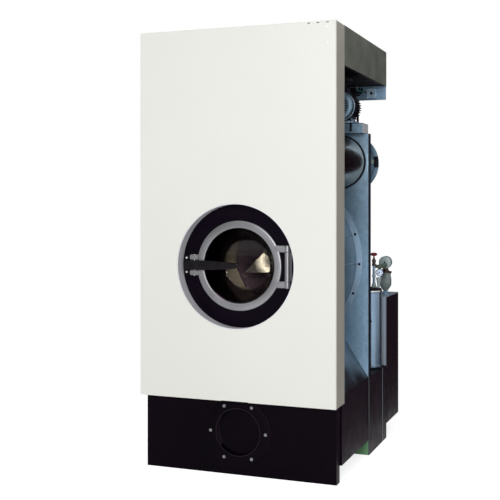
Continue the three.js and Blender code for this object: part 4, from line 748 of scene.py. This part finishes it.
shaft = turned([[76, 516.3], [78, 518], [78, 525.3], [37, 525.3], [31, 530], [29, 538.3], [25, 538.3], [25, 734],
    [23, 736]], at=AXIS)
bolt_ring(shaft, 6, 58, AXIS, 525.3, (7, 6), 1)
piece("drum_shaft_hub", shaft, BRIGHT, "drum_shaft", bevel=0.6)
housing = lathe([[25.5, 556], [58, 556], [58, 563.3], [117, 563.3], [120, 565], [120, 573], [118, 575.3], [66, 575.3],
    [60, 578], [58, 584], [53, 680], [51, 684], [33, 684], [31, 682], [25.5, 682]], at=AXIS)
for i in range(6):
    plate(housing, [(-5, 50), (5, 50), (5, 114), (-5, 114)], 574.3, 635.3, turn=WHOLE * i / 6, at=AXIS)
bolt_ring(housing, 6, 104, AXIS, 575.3, (8, 7), 1, 30)
piece("drum_bearing_housing", housing, IRON, "bearing_housing", bevel=1.2)


@drawing
def grooved(bm, rim, hub, plane, at, bore=None, keyed=None):
    """A V-belt pulley with a groove in the middle of its rim, on a bore or on a shaft with keyed ends."""
    top, low, root = 9.4, 6.2, rim - 9
    groove = [[rim, plane - 12], [rim, plane - top], [root, plane - low], [root, plane + low], [rim, plane + top],
        [rim, plane + 12]]
    if keyed:
        y0, y1 = keyed
        return lathe(bm, [[0, y0], [hub, y0], [hub, plane - 12], *groove, [hub, plane + 12], [hub, y1], [0, y1]],
            at=at)
    web = plane - 5
    return lathe(bm, [[bore, plane - 12], *groove, [root - 7, plane + 12], [root - 8, web], [hub + 3, web],
        [hub, plane + 12], [bore, plane + 12]], at=at, n=128)


@drawing
def belt(bm, c1, r1, c2, r2, plane):
    """A V-belt round two pulleys, whose radii are those of its inner face."""
    half_width, thick = 6.5, 9.0
    heading = atan2(c2[2] - c1[2], c2[0] - c1[0])
    span = hypot(c2[0] - c1[0], c2[2] - c1[2])
    lean_angle = acos((r1 - r2) / span)
    path = []
    for (cx, _, cz), r, first, sweep in ((c1, r1, heading + lean_angle, WHOLE - 2 * lean_angle),
                                         (c2, r2, heading - lean_angle, 2 * lean_angle)):
        path += [(cx, cz, r, first + sweep * i / 48) for i in range(49)]
    section = [(0.3, -half_width + 1.6), (thick, -half_width), (thick, half_width), (0.3, half_width - 1.6)]
    rings = [[bm.verts.new((cx + (r + u) * cos(a), plane + w, cz + (r + u) * sin(a)))
              for u, w in section] for cx, cz, r, a in path]
    for a, b in zip(rings, rings[1:] + rings[:1]):
        for k in range(4):
            j = (k + 1) % 4
            bm.faces.new([a[k], a[j], b[j], b[k]])
    return bm


DRUM_BELT, FAN_BELT = 710, 631  # the depths of the belts' middle planes
piece("drum_pulley_wheel", bolt_ring(grooved(250, 44, DRUM_BELT, AXIS, bore=25.3), 4, 33, AXIS, 722, (5, 4.5), 1, 45),
    IRON, "drum_pulley", bevel=0.8)
piece("drum_motor_sheave", grooved(45, 14, DRUM_BELT, DRUM_MOTOR, keyed=(692, 781)), BRIGHT, "drum_motor_pulley",
    bevel=0.5)
piece("drum_v_belt", belt(AXIS, 242, DRUM_MOTOR, 37, DRUM_BELT), RUBBER, "drum_belt", bevel=0.5)

motor = lathe([[14.5, 742], [44, 742], [52, 744], [74, 752], [82, 757], [84, 762], [84, 776], [80, 776], [80, 868],
    [84, 868], [84, 884], [80, 892], [71, 902], [0, 902], [0, 782], [14.5, 782]], at=DRUM_MOTOR)
for x, z, a in ring_of(36, 80, at=DRUM_MOTOR):
    if abs(sin(a)) < 0.93:  # clear of the foot and of the terminal box
        plate(motor, [(-1.5, -4), (1.5, -4), (1.5, 4), (-1.5, 4)], 775, 869, turn=pi / 2 - a, at=(x, 0, z))
box(motor, (-325.6, -174.4), (764, 872), (362.3, 372.3))
box(motor, (-302, -198), (774, 862), (371, 412))
box(motor, (-292, -208), (757, 877), (537, 588))
for x in (-312, -188):
    for d in (778, 858):
        bolt(motor, 7, 6, "z", (x, d, 372.3), out=1)
for x in (-284, -216):
    for d in (765, 869):
        dome(motor, 3.2, 2.4, "z", (x, d, 588), out=1)
piece("drum_motor_frame", motor, IRON, "drum_motor", bevel=1.2)
piece("drum_motor_shield_joint", tube(84.2, 79.5, 756.5, 758, at=DRUM_MOTOR), RUBBER)

# ---- Door ----

door = lathe([[163, 51.7], [163, 50.6], [163.8, 49.2], [165.6, 48.3], [168, 48], [190, 48], [193, 48.5],
    [194.6, 49.8], [195, 51.5], [195, 58], [171.3, 58], [171.3, 51.7]], at=AXIS, n=160)
bore = rod(189, 0, 62, at=AXIS, n=160)
HINGE, LATCH = (225, 44, AXIS[2]), (-206, 44, AXIS[2])  # the middles of the upright pins
for side in (-1, 1):
    low, high = sorted((62 * side, 90 * side))
    arm = round_edges(box((120, 225), (48, 58), (AXIS[2] + low, AXIS[2] + high)), 2.2)
    door = join(door, cut(arm, bore))
    door = join(door, turned([[10.5, low], [12, low + 1.5], [12, high - 1.5], [10.5, high]], "z", HINGE))
    low, high = sorted((22.5 * side, 45 * side))
    lug = round_edges(box((-226, -130), (37, 58), (AXIS[2] + low, AXIS[2] + high)), 3.0)
    door = join(door, cut(lug, bore))
piece("door_ring_casting", cut(door, rod(4.8, -200, 200, "z", HINGE), rod(4.3, -200, 200, "z", LATCH)), CAST,
    "door_ring", bevel=0.9, limit=45)
piece("door_glass_bowl", lathe([[158, 52], [170, 52], [171, 53], [171, 55], [170, 56], [163, 56], [161, 60],
    [121.5, 153], [117.5, 159], [112, 162], [105, 163], [0, 163], [0, 158], [104, 158], [109, 157], [112.6, 154.5],
    [115.6, 150], [155.5, 57.5], [157, 54]], at=AXIS, n=128), GLASS, "door_glass", sharp=60)
piece("door_seal_ring", lathe([[173, 58.5], [176, 58.3], [186, 58.3], [189, 59], [189, 61.4], [188, 61.7],
    [181, 61.7], [179, 60.6], [175, 61.7], [173, 61.4]], at=AXIS, n=128), RUBBER, "door_seal", sharp=50)

hinge = join(rod(12, -61, 61, "z", HINGE, n=64), round_edges(box((210, 240), (50, 61.7), (841, 963)), 1.6))
piece("hinge_barrel", cut(hinge, rod(4.8, -102, 98, "z", HINGE)), CAST, "hinge_bracket", bevel=0.8, limit=45)
pins = turned([[3, -92], [4.5, -91], [4.5, 91], [3, 92]], "z", HINGE, n=40)
for z in (-91, 87.5):
    turned(pins, [[7.5, z], [8, z + 0.8], [8, z + 2.6], [7.5, z + 3.5]], "z", HINGE, 40)
piece("hinge_pin_rod", pins, BRIGHT, "hinge_pin")
piece("latch_pin_rod", turned([[3, -47], [4, -46], [4, 46], [3, 47]], "z", LATCH, n=36), BRIGHT, "latch_pin")

lever_outline = [(-238, -20.5), (-150, -20.5), (-130, -20), (-14, -12.6)]
lever_outline += [(-12.5 + 12.5 * cos(a), 12.5 * sin(a))
                  for a in (radians(-90 + 180 * i / 24) for i in range(25))]
lever_outline += [(-14, 12.6), (-130, 20), (-150, 20.5), (-238, 20.5)]
lever = plate(lever_outline, 24, 41, at=AXIS)
bmesh.ops.dissolve_limit(lever, angle_limit=radians(1), verts=lever.verts, edges=lever.edges)
lever = round_edges(lever, 5.2, 5)
piece("handle_lever", cut(join(lever, round_edges(box((-238, -196), (37, 50), (881.5, 922.5)), 2.0)),
    rod(4.3, -30, 30, "z", LATCH)), GLOSS, "door_handle")

keeper = round_edges(box((-258, -231), (42, 61.7), (860, 944)), 3.2, 4)
piece("latch_keeper_block", cut(keeper, round_edges(box((-246, -200), (30, 70), (878.5, 925.5)), 1.2)), GLOSS,
    "latch_keeper", bevel=0.6, limit=50)
studs = new()
for z in (871, 933):
    dome(studs, 6, 4, "y", (-242, 42, z))
piece("latch_keeper_screws", studs, BRIGHT)

# ---- Fan and guard ----

casing = lathe([[0, 170], [62, 170], [64, 168.6], [103, 168.6], [110, 170.6], [114, 175], [114, 440], [122, 520],
    [123, 559.7], [121, 559.7], [120, 520], [112, 440], [112, 177], [108.6, 173.4], [0, 172]], at=FAN, n=160)
piece("fan_casing_drum", cut(casing, rod(77, -200, -60, "x", (308, 350, 1390), n=96),
    duct(38, 380, duct_length - 60)), POLISHED, "fan_casing", bevel=0.3, limit=50)
band = tube(127, 123.2, 549, 559.5, at=FAN, n=160)
for x, z, a in ring_of(12, 125, 15, FAN):
    dome(band, 1.8, 1.6, "y", (x, 549, z))
piece("fan_casing_band", band, MOTOR_DARK, bevel=0.5)

guard = lathe([[90, 563.3], [92, 563.3], [92, 740], [95, 750], [101, 755], [121.5, 756], [121.5, 749.4], [123, 748],
    [139.5, 748], [141.5, 750], [141.5, 758], [139.5, 760], [0, 760], [0, 756], [90, 756]], at=FAN, n=160)
piece("fan_guard_drum", cut(guard, box((216, 410), (607, 655), (1385, 1467))), ZINC, "fan_guard", bevel=0.3, limit=50)
piece("fan_guard_bead", lathe([[118.6, 755.8], [121.6, 755.8], [121.6, 752.4], [118.6, 753.4]], at=FAN, n=128),
    NAVY_BLACK)
piece("fan_guard_bolts", bolt_ring(new(), 8, 131.5, FAN, 760, (4.5, 3.6), 1, 22.5), BRIGHT)
piece("speed_sensor_stem", turned([[15, 92.3], [15, 100], [12, 101], [12, 114], [14, 115], [14, 121], [10, 122],
    [10, 126]], "x", (308, 734.7, 1371)), VALVE_PALE, bevel=0.5)
block = round_edges(box((433.5, 449.5), (721.7, 747.7), (1345, 1397)), 2.0, 3)
for z in (1352, 1390):
    dome(block, 2.6, 2, "y", (441.5, 721.7, z))
piece("speed_sensor_block", block, GLOSS, "speed_sensor", bevel=0.3, limit=50)
piece("fan_sheave", grooved(75, 12, FAN_BELT, FAN, keyed=(205, 653)), BRIGHT, "fan_shaft", bevel=0.5)
piece("fan_v_belt", belt(FAN, 67, MOTOR, 30, FAN_BELT), RUBBER, "fan_belt", bevel=0.5)

# ---- Top motor ----

frame_body = turned([[57, 455], [57, 464], [59, 466], [59, 582], [54, 588], [42, 592], [11.5, 592], [11.5, 556]],
    at=MOTOR)
for degrees in range(0, 360, 10):
    if not 240 < degrees <= 300:  # clear of the terminal box
        plate(frame_body, [(57, -3), (67, -2), (67, 2), (57, 3)], 467, 578, turn=radians(degrees), at=MOTOR)
box(frame_body, (308, 362), (485, 552), (1665, 1711))
for x in (314, 356):
    for d in (491, 546):
        dome(frame_body, 2.8, 2, "z", (x, d, 1711), out=1)
TENSION = (381, 488, 0)  # the line of the bolt that tensions the fan's belt
motor_foot = cut(box((288, 396), (469, 572), (1541.3, 1549.3)), rod(4.3, 1535, 1552, "z", TENSION, n=32))
for x0, x1 in ((300, 308), (376, 384)):
    plate(motor_foot, [(x0, 1548), (x1, 1548), (x1, 1572), (x0, 1572)], 500, 564)
box(motor_foot, (308, 376), (500, 564), (1548, 1556))
for x in (294, 390):
    bolt(motor_foot, 4.5, 4.5, "z", (x, 556, 1549.3), out=1)
piece("fan_motor_foot", motor_foot, ZINC_LIGHT, bevel=0.6)
piece("fan_motor_end_ring", tube(66, 57.2, 460.5, 463.5, at=MOTOR), ZINC_LIGHT, bevel=0.8)
piece("fan_motor_frame", frame_body, MOTOR_DARK, "fan_motor", bevel=0.5, limit=45)
cowl = turned([[50, 421.7], [56, 423], [60.4, 426.6], [62, 431.7], [62, 454.7], [60, 454.7], [60, 432.6], [58.4, 428],
    [55, 425], [50, 423.7]], at=MOTOR)
for i in range(-3, 4):
    half, z = sqrt(44 ** 2 - (i * 11) ** 2), MOTOR[2] + i * 11
    for x0, x1 in ((-half, -3), (3, half)):
        cowl = cut(cowl, box((MOTOR[0] + x0, MOTOR[0] + x1), (419, 425.5), (z - 3, z + 3)))
piece("fan_motor_cowl_cap", cowl, ZINC, "fan_motor_cowl", bevel=0.3, limit=50)
# A dark band round the cowl's side: painted shade where the side lies in shade behind the cap.
piece("fan_motor_cowl_shade_band", tube(62.8, 62.1, 438, 454.6, at=MOTOR), MOTOR_DARK)
cowl_screws = new()
for x, z, a in ring_of(4, 62.31, 45, MOTOR):
    rod(cowl_screws, 3, 444, 449, at=(x, 0, z), n=20)
piece("fan_motor_cowl_screws", cowl_screws, BRIGHT)
inner_fan = new()
for i in range(7):
    plate(inner_fan, [(8, -1.5), (50, -4), (50, 4), (8, 1.5)], 434, 450, turn=WHOLE * i / 7, at=MOTOR)
rod(inner_fan, 14, 430, 454.7, at=MOTOR)
piece("fan_motor_cooling_fan", inner_fan, RUBBER, bevel=0.4)
piece("fan_motor_sheave", grooved(38, 11, FAN_BELT, MOTOR, keyed=(558, 649)), BRIGHT, "fan_motor_pulley", bevel=0.4)
tension = rod(4.4, 1503.3, 1556.6, "z", TENSION, n=28)
for i in range(24):
    z = 1504 + 2.1 * i
    lathe(tension, [[4.2, z], [5, z + 0.9], [4.2, z + 1.8]], "z", TENSION, 24)
piece("belt_tension_bolt", tension, MOTOR_DARK, "tension_bolt", bevel=0.3)
piece("belt_tension_lug", box((369, 393), (490, 499.7), (1509, 1519)), ZINC, bevel=0.6)
ends = new()
for x in (-434.6, 434):
    box(ends, (x, x + 0.7), (503, 603.6), (1496, 1539))
piece("motor_rail_ends", ends, COLLAR)
# Dark strips: the one at the rail's top edge is a rubber pad; the one under the rail and those on the bulkhead's
# right edge are painted shade, where the rail's underside and the bulkhead's folded return are in shadow.
shade_trim = new()
for d, z in (((499.5, 502.5), (1539.2, 1541.5)), ((499.8, 503), (1493.6, 1495.2))):
    box(shade_trim, (-434, 434.3), d, z)
for x, d, z in ((446.4, (559.2, 562), 1495.2), (447.6, (559.8, 590.6), 1495.4), (446.4, (587.8, 590.7), 1495.2)):
    box(shade_trim, (x, 450.7), d, (362.4, z))
piece("bulkhead_edge_trim", shade_trim, NAVY_BLACK, bevel=0.4)

# ---- Services at the right rear ----

VESSEL = (395, 830, 0)
piece("filter_vessel_body", turned([[40, 362.3], [45, 364], [48, 369], [48, 372], [49.2, 373], [49.2, 378], [48, 379],
    [48, 730], [49.4, 731], [49.4, 737], [48, 738], [48, 742]], "z", VESSEL), TUBING, "filter_vessel", bevel=0.3)
piece("filter_vessel_cap", turned([[50, 742], [51, 743], [51, 751], [49.6, 753], [44, 755.4],
    [20, 756]], "z", VESSEL), MOTOR_DARK, bevel=0.5)
clamp = tube(52.6, 48.2, 738.6, 743.6, "z", VESSEL)
box(clamp, (387, 403), (772, 783), (736, 746))
bolt(clamp, 3.6, 3.4, "x", (387, 776, 741))
piece("filter_vessel_clamp", clamp, BRIGHT, bevel=0.5)
piece("filter_vessel_drain", turned([[5, 0.5], [5, -5], [8, -6], [8, -10], [7, -11]], at=(402, 782.6, 595), n=32),
    GLOSS, bevel=0.4)
piece("filter_vessel_sight", turned([[8, 755.6], [8, 764], [6, 768], [9, 786], [11.5, 800], [11.5, 806], [10, 807]],
    "z", (431, *VESSEL[1:]), 48), VALVE_PALE, bevel=0.4)
feet = new()
for x, z, a in ring_of(3, 40, 30):
    dome(feet, 4, 3, "z", (VESSEL[0] + x * 1.28, VESSEL[1] + z * 1.1, 362.3), out=1)
piece("filter_vessel_studs", feet, BRASS)

VENT = (408, 830, 0)
piece("vent_riser", rod(7, 760, 893, "z", VENT, 40), TUBING, "vent_pipe")
fittings = new()
turned(fittings, [[12, 756.3], [12.4, 757], [12.4, 767], [12, 768.3]], "z", VENT, 6)
turned(fittings, [[9.6, 768], [9.6, 776], [8, 779]], "z", VENT, 32)
turned(fittings, [[9, 808], [9.6, 809], [9.6, 817], [9, 818]], "z", VENT, 32)
piece("vent_fittings", fittings, VALVE_PALE, bevel=0.4)
valve_body = new()
turned(valve_body, [[10.4, 863], [11, 864], [11, 872], [9, 874], [9, 882], [11, 884], [11, 892], [10.4, 893]], "z",
    VENT, 6)
turned(valve_body, [[7, 892], [7, 899], [4, 901], [4, 915]], "z", VENT, 32)
piece("vent_valve_body", valve_body, BRASS, bevel=0.5)
grip = round_edges(box((392, 424), (820, 840), (912, 928)), 4.2, 4)
piece("vent_valve_grip", join(grip, lathe([[0, 915.3], [8, 915.3], [9, 916.3], [9, 926], [7.4, 927.6], [0, 928]], "z",
    VENT, 40)), RED, "valve_handle")

GAUGE = (421, 0, 826)
bezel = lathe([[17.5, 896], [17.5, 892], [18.2, 891], [18.9, 891], [19.5, 892], [19.5, 896], [18.6, 897], [18.6, 907],
    [17.6, 909], [0, 909], [0, 896.4], [17.5, 896.4]], at=GAUGE, n=80)
turned(bezel, [[5, 836], [5, 841], [6.5, 842], [6.5, 845], [5, 846.2]], "z", (421, 900, 0), 32)
piece("gauge_case", bezel, NAVY, "gauge", bevel=0.2)
piece("gauge_dial", rod(17.4, 895.2, 896.2, at=GAUGE, n=80), DIAL)
ticks = new()
for i in range(28):
    a = radians(225 - 10 * i)
    r0 = 12.2 if i % 3 == 0 else 13.6
    wide = 0.42 if i % 3 == 0 else 0.24
    plate(ticks, [(r0, -wide), (15.4, -wide), (15.4, wide), (r0, wide)], 894.95, 895.3, turn=-a, at=GAUGE)
piece("gauge_ticks", ticks, IRON)
piece("gauge_hub", rod(1.5, 893.4, 896, at=GAUGE, n=24), BRIGHT)
needle = plate([(-1.2, -5), (1.2, -5), (0.9, 3), (0.35, 13), (-0.35, 13), (-0.9, 3)], 893.8, 894.8,
    turn=-radians(135), at=GAUGE)
tube(needle, 3.4, 1.8, 893.8, 894.8, at=GAUGE, n=32)
piece("gauge_pointer", needle, NAVY, "gauge_needle")
piece("gauge_lens", rod(17.3, 891.6, 892.3, at=GAUGE, n=64), LENS)

PIPE, CROSS = (421, 0, 855.5), (421, 893, 857)  # the pipe's line and the middle of its cross fitting
pipe_run = rod(9, 885, 1019.7, at=PIPE)
turned(pipe_run, [[8, 883], [9, 884.4], [9, 890]], at=PIPE, n=48)
rod(pipe_run, 8, -21, 20, "x", CROSS, 40)
piece("service_run", pipe_run, VALVE_OLIVE, "service_pipe")
unions = new()
for d0, d1 in ((959.7, 979.7), (1004, 1019.7)):
    turned(unions, [[12, d0], [13, d0 + 1.4], [13, d1 - 1.4], [12, d1]], at=PIPE, n=6)
turned(unions, [[11, 888], [11.6, 889], [11.6, 911], [11, 912]], at=PIPE, n=40)
for t0, t1 in ((-22, -13), (12, 21)):
    turned(unions, [[9.6, t0], [10, t0 + 1], [10, t1 - 1], [9.6, t1]], "x", CROSS, 6)
piece("service_unions", unions, VALVE_OLIVE, bevel=0.5)

REG, HEAD = (418, 1040, 0), (418, 0, 869)  # the regulator's upright line and the line of its round head
piece("regulator_cap", turned([[4, 1021.4], [4.6, 1020], [26, 1020], [29.6, 1021], [31.5, 1023.4], [31.5, 1058],
    [30, 1060]], at=HEAD), VALVE_PALE, "regulator_head", bevel=0.4)
piece("regulator_cap_plug", rod(4.2, 1020.6, 1022, at=HEAD, n=32), GLOSS)
piece("regulator_neck", cut(turned([[31, 815], [32, 816], [32, 822], [31, 823], [20, 824], [17, 828], [15, 834],
    [15, 857]], "z", REG, 64), rod(31.8, 990, 1090, at=HEAD, n=96)), BRONZE, bevel=0.4, limit=50)
piece("regulator_casting", turned([[11, 722], [14, 726], [26, 744], [30, 752], [31, 762], [31, 780], [28, 798],
    [26, 806], [29, 809], [29, 816]], "z", REG, 8, radians(22.5)), VALVE, "regulator_body", bevel=1.6, segments=3,
    limit=20, sharp=25)
under = new()
turned(under, [[20, 704.3], [20, 709], [18.6, 710], [10, 710.5], [10, 728]], "z", REG, 48)
turned(under, [[13, 712], [14, 713], [14, 720], [13, 721]], "z", REG, 6)
for x, z, a in ring_of(4, 15.5, 45):
    bolt(under, 2.6, 2.4, "z", (REG[0] + x, REG[1] + z, 710), out=1)
piece("regulator_foot", under, ZINC, bevel=0.4)

# ---- Top box fittings, cables ----

piece("pressure_switch_case", round_edges(box((357, 405), (888.7, 914.7), (1696, 1744)), 3.2, 4), ZINC_LIGHT,
    "pressure_switch")
lid = new()
for x in (361.5, 400.5):
    for z in (1700.5, 1739.5):
        dome(lid, 2.2, 1.2, "y", (x, 888.7, z))
piece("pressure_switch_screws", lid, BRIGHT)
piece("pressure_switch_button", turned([[5.4, 883.7], [7, 885], [7, 889.5]], at=(381, 0, 1720), n=40), GLOSS)

KNOB = (-300, 0, 1840)
knob = turned([[23, 920.3], [23, 926], [21, 928.3]], at=KNOB, n=64)
piece("main_switch_grip", join(knob, round_edges(box((-306, -294), (926, 944.3), (1818, 1862)), 3.2, 4)), RED,
    "main_switch_knob")
GLAND = (-180, 0, 1840)
gland = lathe([[8, 920.3], [17.6, 920.3], [19, 921.6], [19, 928], [17.6, 929.3], [8, 929.3]], at=GLAND, n=6)
lathe(gland, [[8, 929], [16, 929], [16, 938], [15.4, 942], [12.6, 946.6], [9.4, 948.3], [8, 947]], at=GLAND, n=48)
piece("cable_gland_nut", gland, GLOSS, "cable_gland", bevel=0.4)

piece("motor_lead", hose([(334, 520, 1711.3), (334, 520, 1721.3), (346, 539.1, 1733.3), (356, 567, 1741),
    (358, 573, 1749), (358, 573, 1757)], 5.9, 8, 20), RUBBER, "motor_cable", sharp=60)
sleeves = new()
turned(sleeves, [[9, 1711], [9, 1717], [7.4, 1721]], "z", (334, 520, 0), 32)
turned(sleeves, [[8, 1745], [9.4, 1748], [9.4, 1757]], "z", (358, 573, 0), 32)
piece("motor_lead_glands", sleeves, GLOSS)
clump = new()
for x, z, d in ((268, 1708, 903), (276, 1718, 906), (285, 1711, 901), (294, 1722, 905), (303, 1713, 902),
                (312, 1724, 906)):
    hose(clump, [(x - 6, d - 2, 1755), (x - 2, d, z + 16), (x + 7, d + 2, z), (x + 17, d, z + 12),
        (x + 14, d - 3, 1755)], 3.6, 6, 12)
piece("tray_cable_clump", clump, RUBBER, sharp=60)
piece("cable_tray_edge", box((-446, 446), (914.3, 917.2), (1688.7, 1691)), NAVY_BLACK, bevel=0.3)
piece("air_tube", hose([(356.7, 901.7, 1728), (344.7, 901.7, 1728), (326.7, 890.7, 1732), (314.7, 868.7, 1740),
    (312.7, 862.7, 1749), (312.7, 862.7, 1757)], 3.45, 8, 16), GREEN, "air_hose", sharp=60)
push = new()
turned(push, [[5, 347.7], [5.4, 348.5], [5.4, 356], [5, 356.9]], "x", (0, 901.7, 1728), 24)
turned(push, [[5, 1750], [5.4, 1751], [5.4, 1757]], "z", (312.7, 862.7, 0), 24)
piece("air_tube_fittings", push, IRON)

# ---- Floor, backdrop, lights ----

SKY = 0.26  # the world's strength as it lights the object
FLOOR_GLOW = 0.79  # with the sky's share it makes the floor white, less in the object's shadow
KEY_POWER = 262

floor_mesh = bpy.data.meshes.new("floor")
floor_mesh.from_pydata([(-30, -30, 0), (30, -30, 0), (30, 30, 0), (-30, 30, 0)], [], [(0, 1, 2, 3)])
floor = linked("floor", floor_mesh)
floor.location.z = -0.0005
tree = Tree("floor_pale")
tree.set(Base_Color=(0.85, 0.85, 0.85, 1), Roughness=0.9, Specular_IOR_Level=0.1)


def backdrop_rays(nodes, links):
    """1 for the rays of the camera, of reflections and of glass, which see the white backdrop."""
    path = nodes.new("ShaderNodeLightPath")
    total = path.outputs["Is Camera Ray"]
    for name in ("Is Glossy Ray", "Is Transmission Ray"):
        larger = nodes.new("ShaderNodeMath")
        larger.operation = "MAXIMUM"
        links.new(total, larger.inputs[0])
        links.new(path.outputs[name], larger.inputs[1])
        total = larger.outputs[0]
    return total


glow = tree.add("Emission", Color=(1, 1, 1, 1), Strength=FLOOR_GLOW)
both = tree.nodes.new("ShaderNodeAddShader")
tree.links.new(glow.outputs[0], both.inputs[0])
tree.links.new(tree.shader.outputs[0], both.inputs[1])
choose(tree.nodes, tree.links, backdrop_rays(tree.nodes, tree.links), tree.shader.outputs[0], both.outputs[0])
floor_mesh.materials.append(tree.material)

world = bpy.data.worlds.new("studio")
bpy.context.scene.world = world
world.use_nodes = True
nodes, links = world.node_tree.nodes, world.node_tree.links
soft = nodes["Background"]
soft.inputs[0].default_value = (0.95, 0.97, 1, 1)
soft.inputs[1].default_value = SKY
white = nodes.new("ShaderNodeBackground")
white.inputs[0].default_value = (1, 1, 1, 1)
white.inputs[1].default_value = 1.0
choose(nodes, links, backdrop_rays(nodes, links), soft.outputs[0], white.outputs[0], "World Output")

key = bpy.data.lights.new("key", "AREA")
key.size = 2.4
key.energy = KEY_POWER
lamp = linked("key", key)
lamp.location = (1.15, -6.6, 2.2)
lamp.rotation_euler = (Vector((0, -0.4, 1.0)) - lamp.location).to_track_quat("-Z", "Y").to_euler()


def flag(name, corners, through_glass=False):
    """A dark studio flag: only reflections see it, and it takes no light from the object."""
    mesh = bpy.data.meshes.new(name)
    mesh.from_pydata(corners, [], [(0, 1, 2, 3)])
    mesh.materials.append(flag_cloth)
    obj = linked(name, mesh)
    for rays in ("camera", "diffuse", "volume_scatter", "shadow"):
        setattr(obj, "visible_" + rays, False)
    obj.visible_transmission = through_glass


flag_cloth = moulded("flag_cloth", (34, 21, 32), 0.95, specular=0.05)
flag("flag_behind", [(-3, 2.6, 0.01), (4.5, 2.6, 0.01), (4.5, 2.6, 2.6), (-3, 2.6, 2.6)])
flag("flag_below", [(0.55, -0.8, 0.01), (4.5, -0.8, 0.01), (4.5, 2.6, 0.01), (0.55, 2.6, 0.01)])
flag("flag_front", [(-7, -7.5, 0.01), (-1, -7.5, 0.01), (-1, -7.5, 3.2), (-7, -7.5, 3.2)], True)
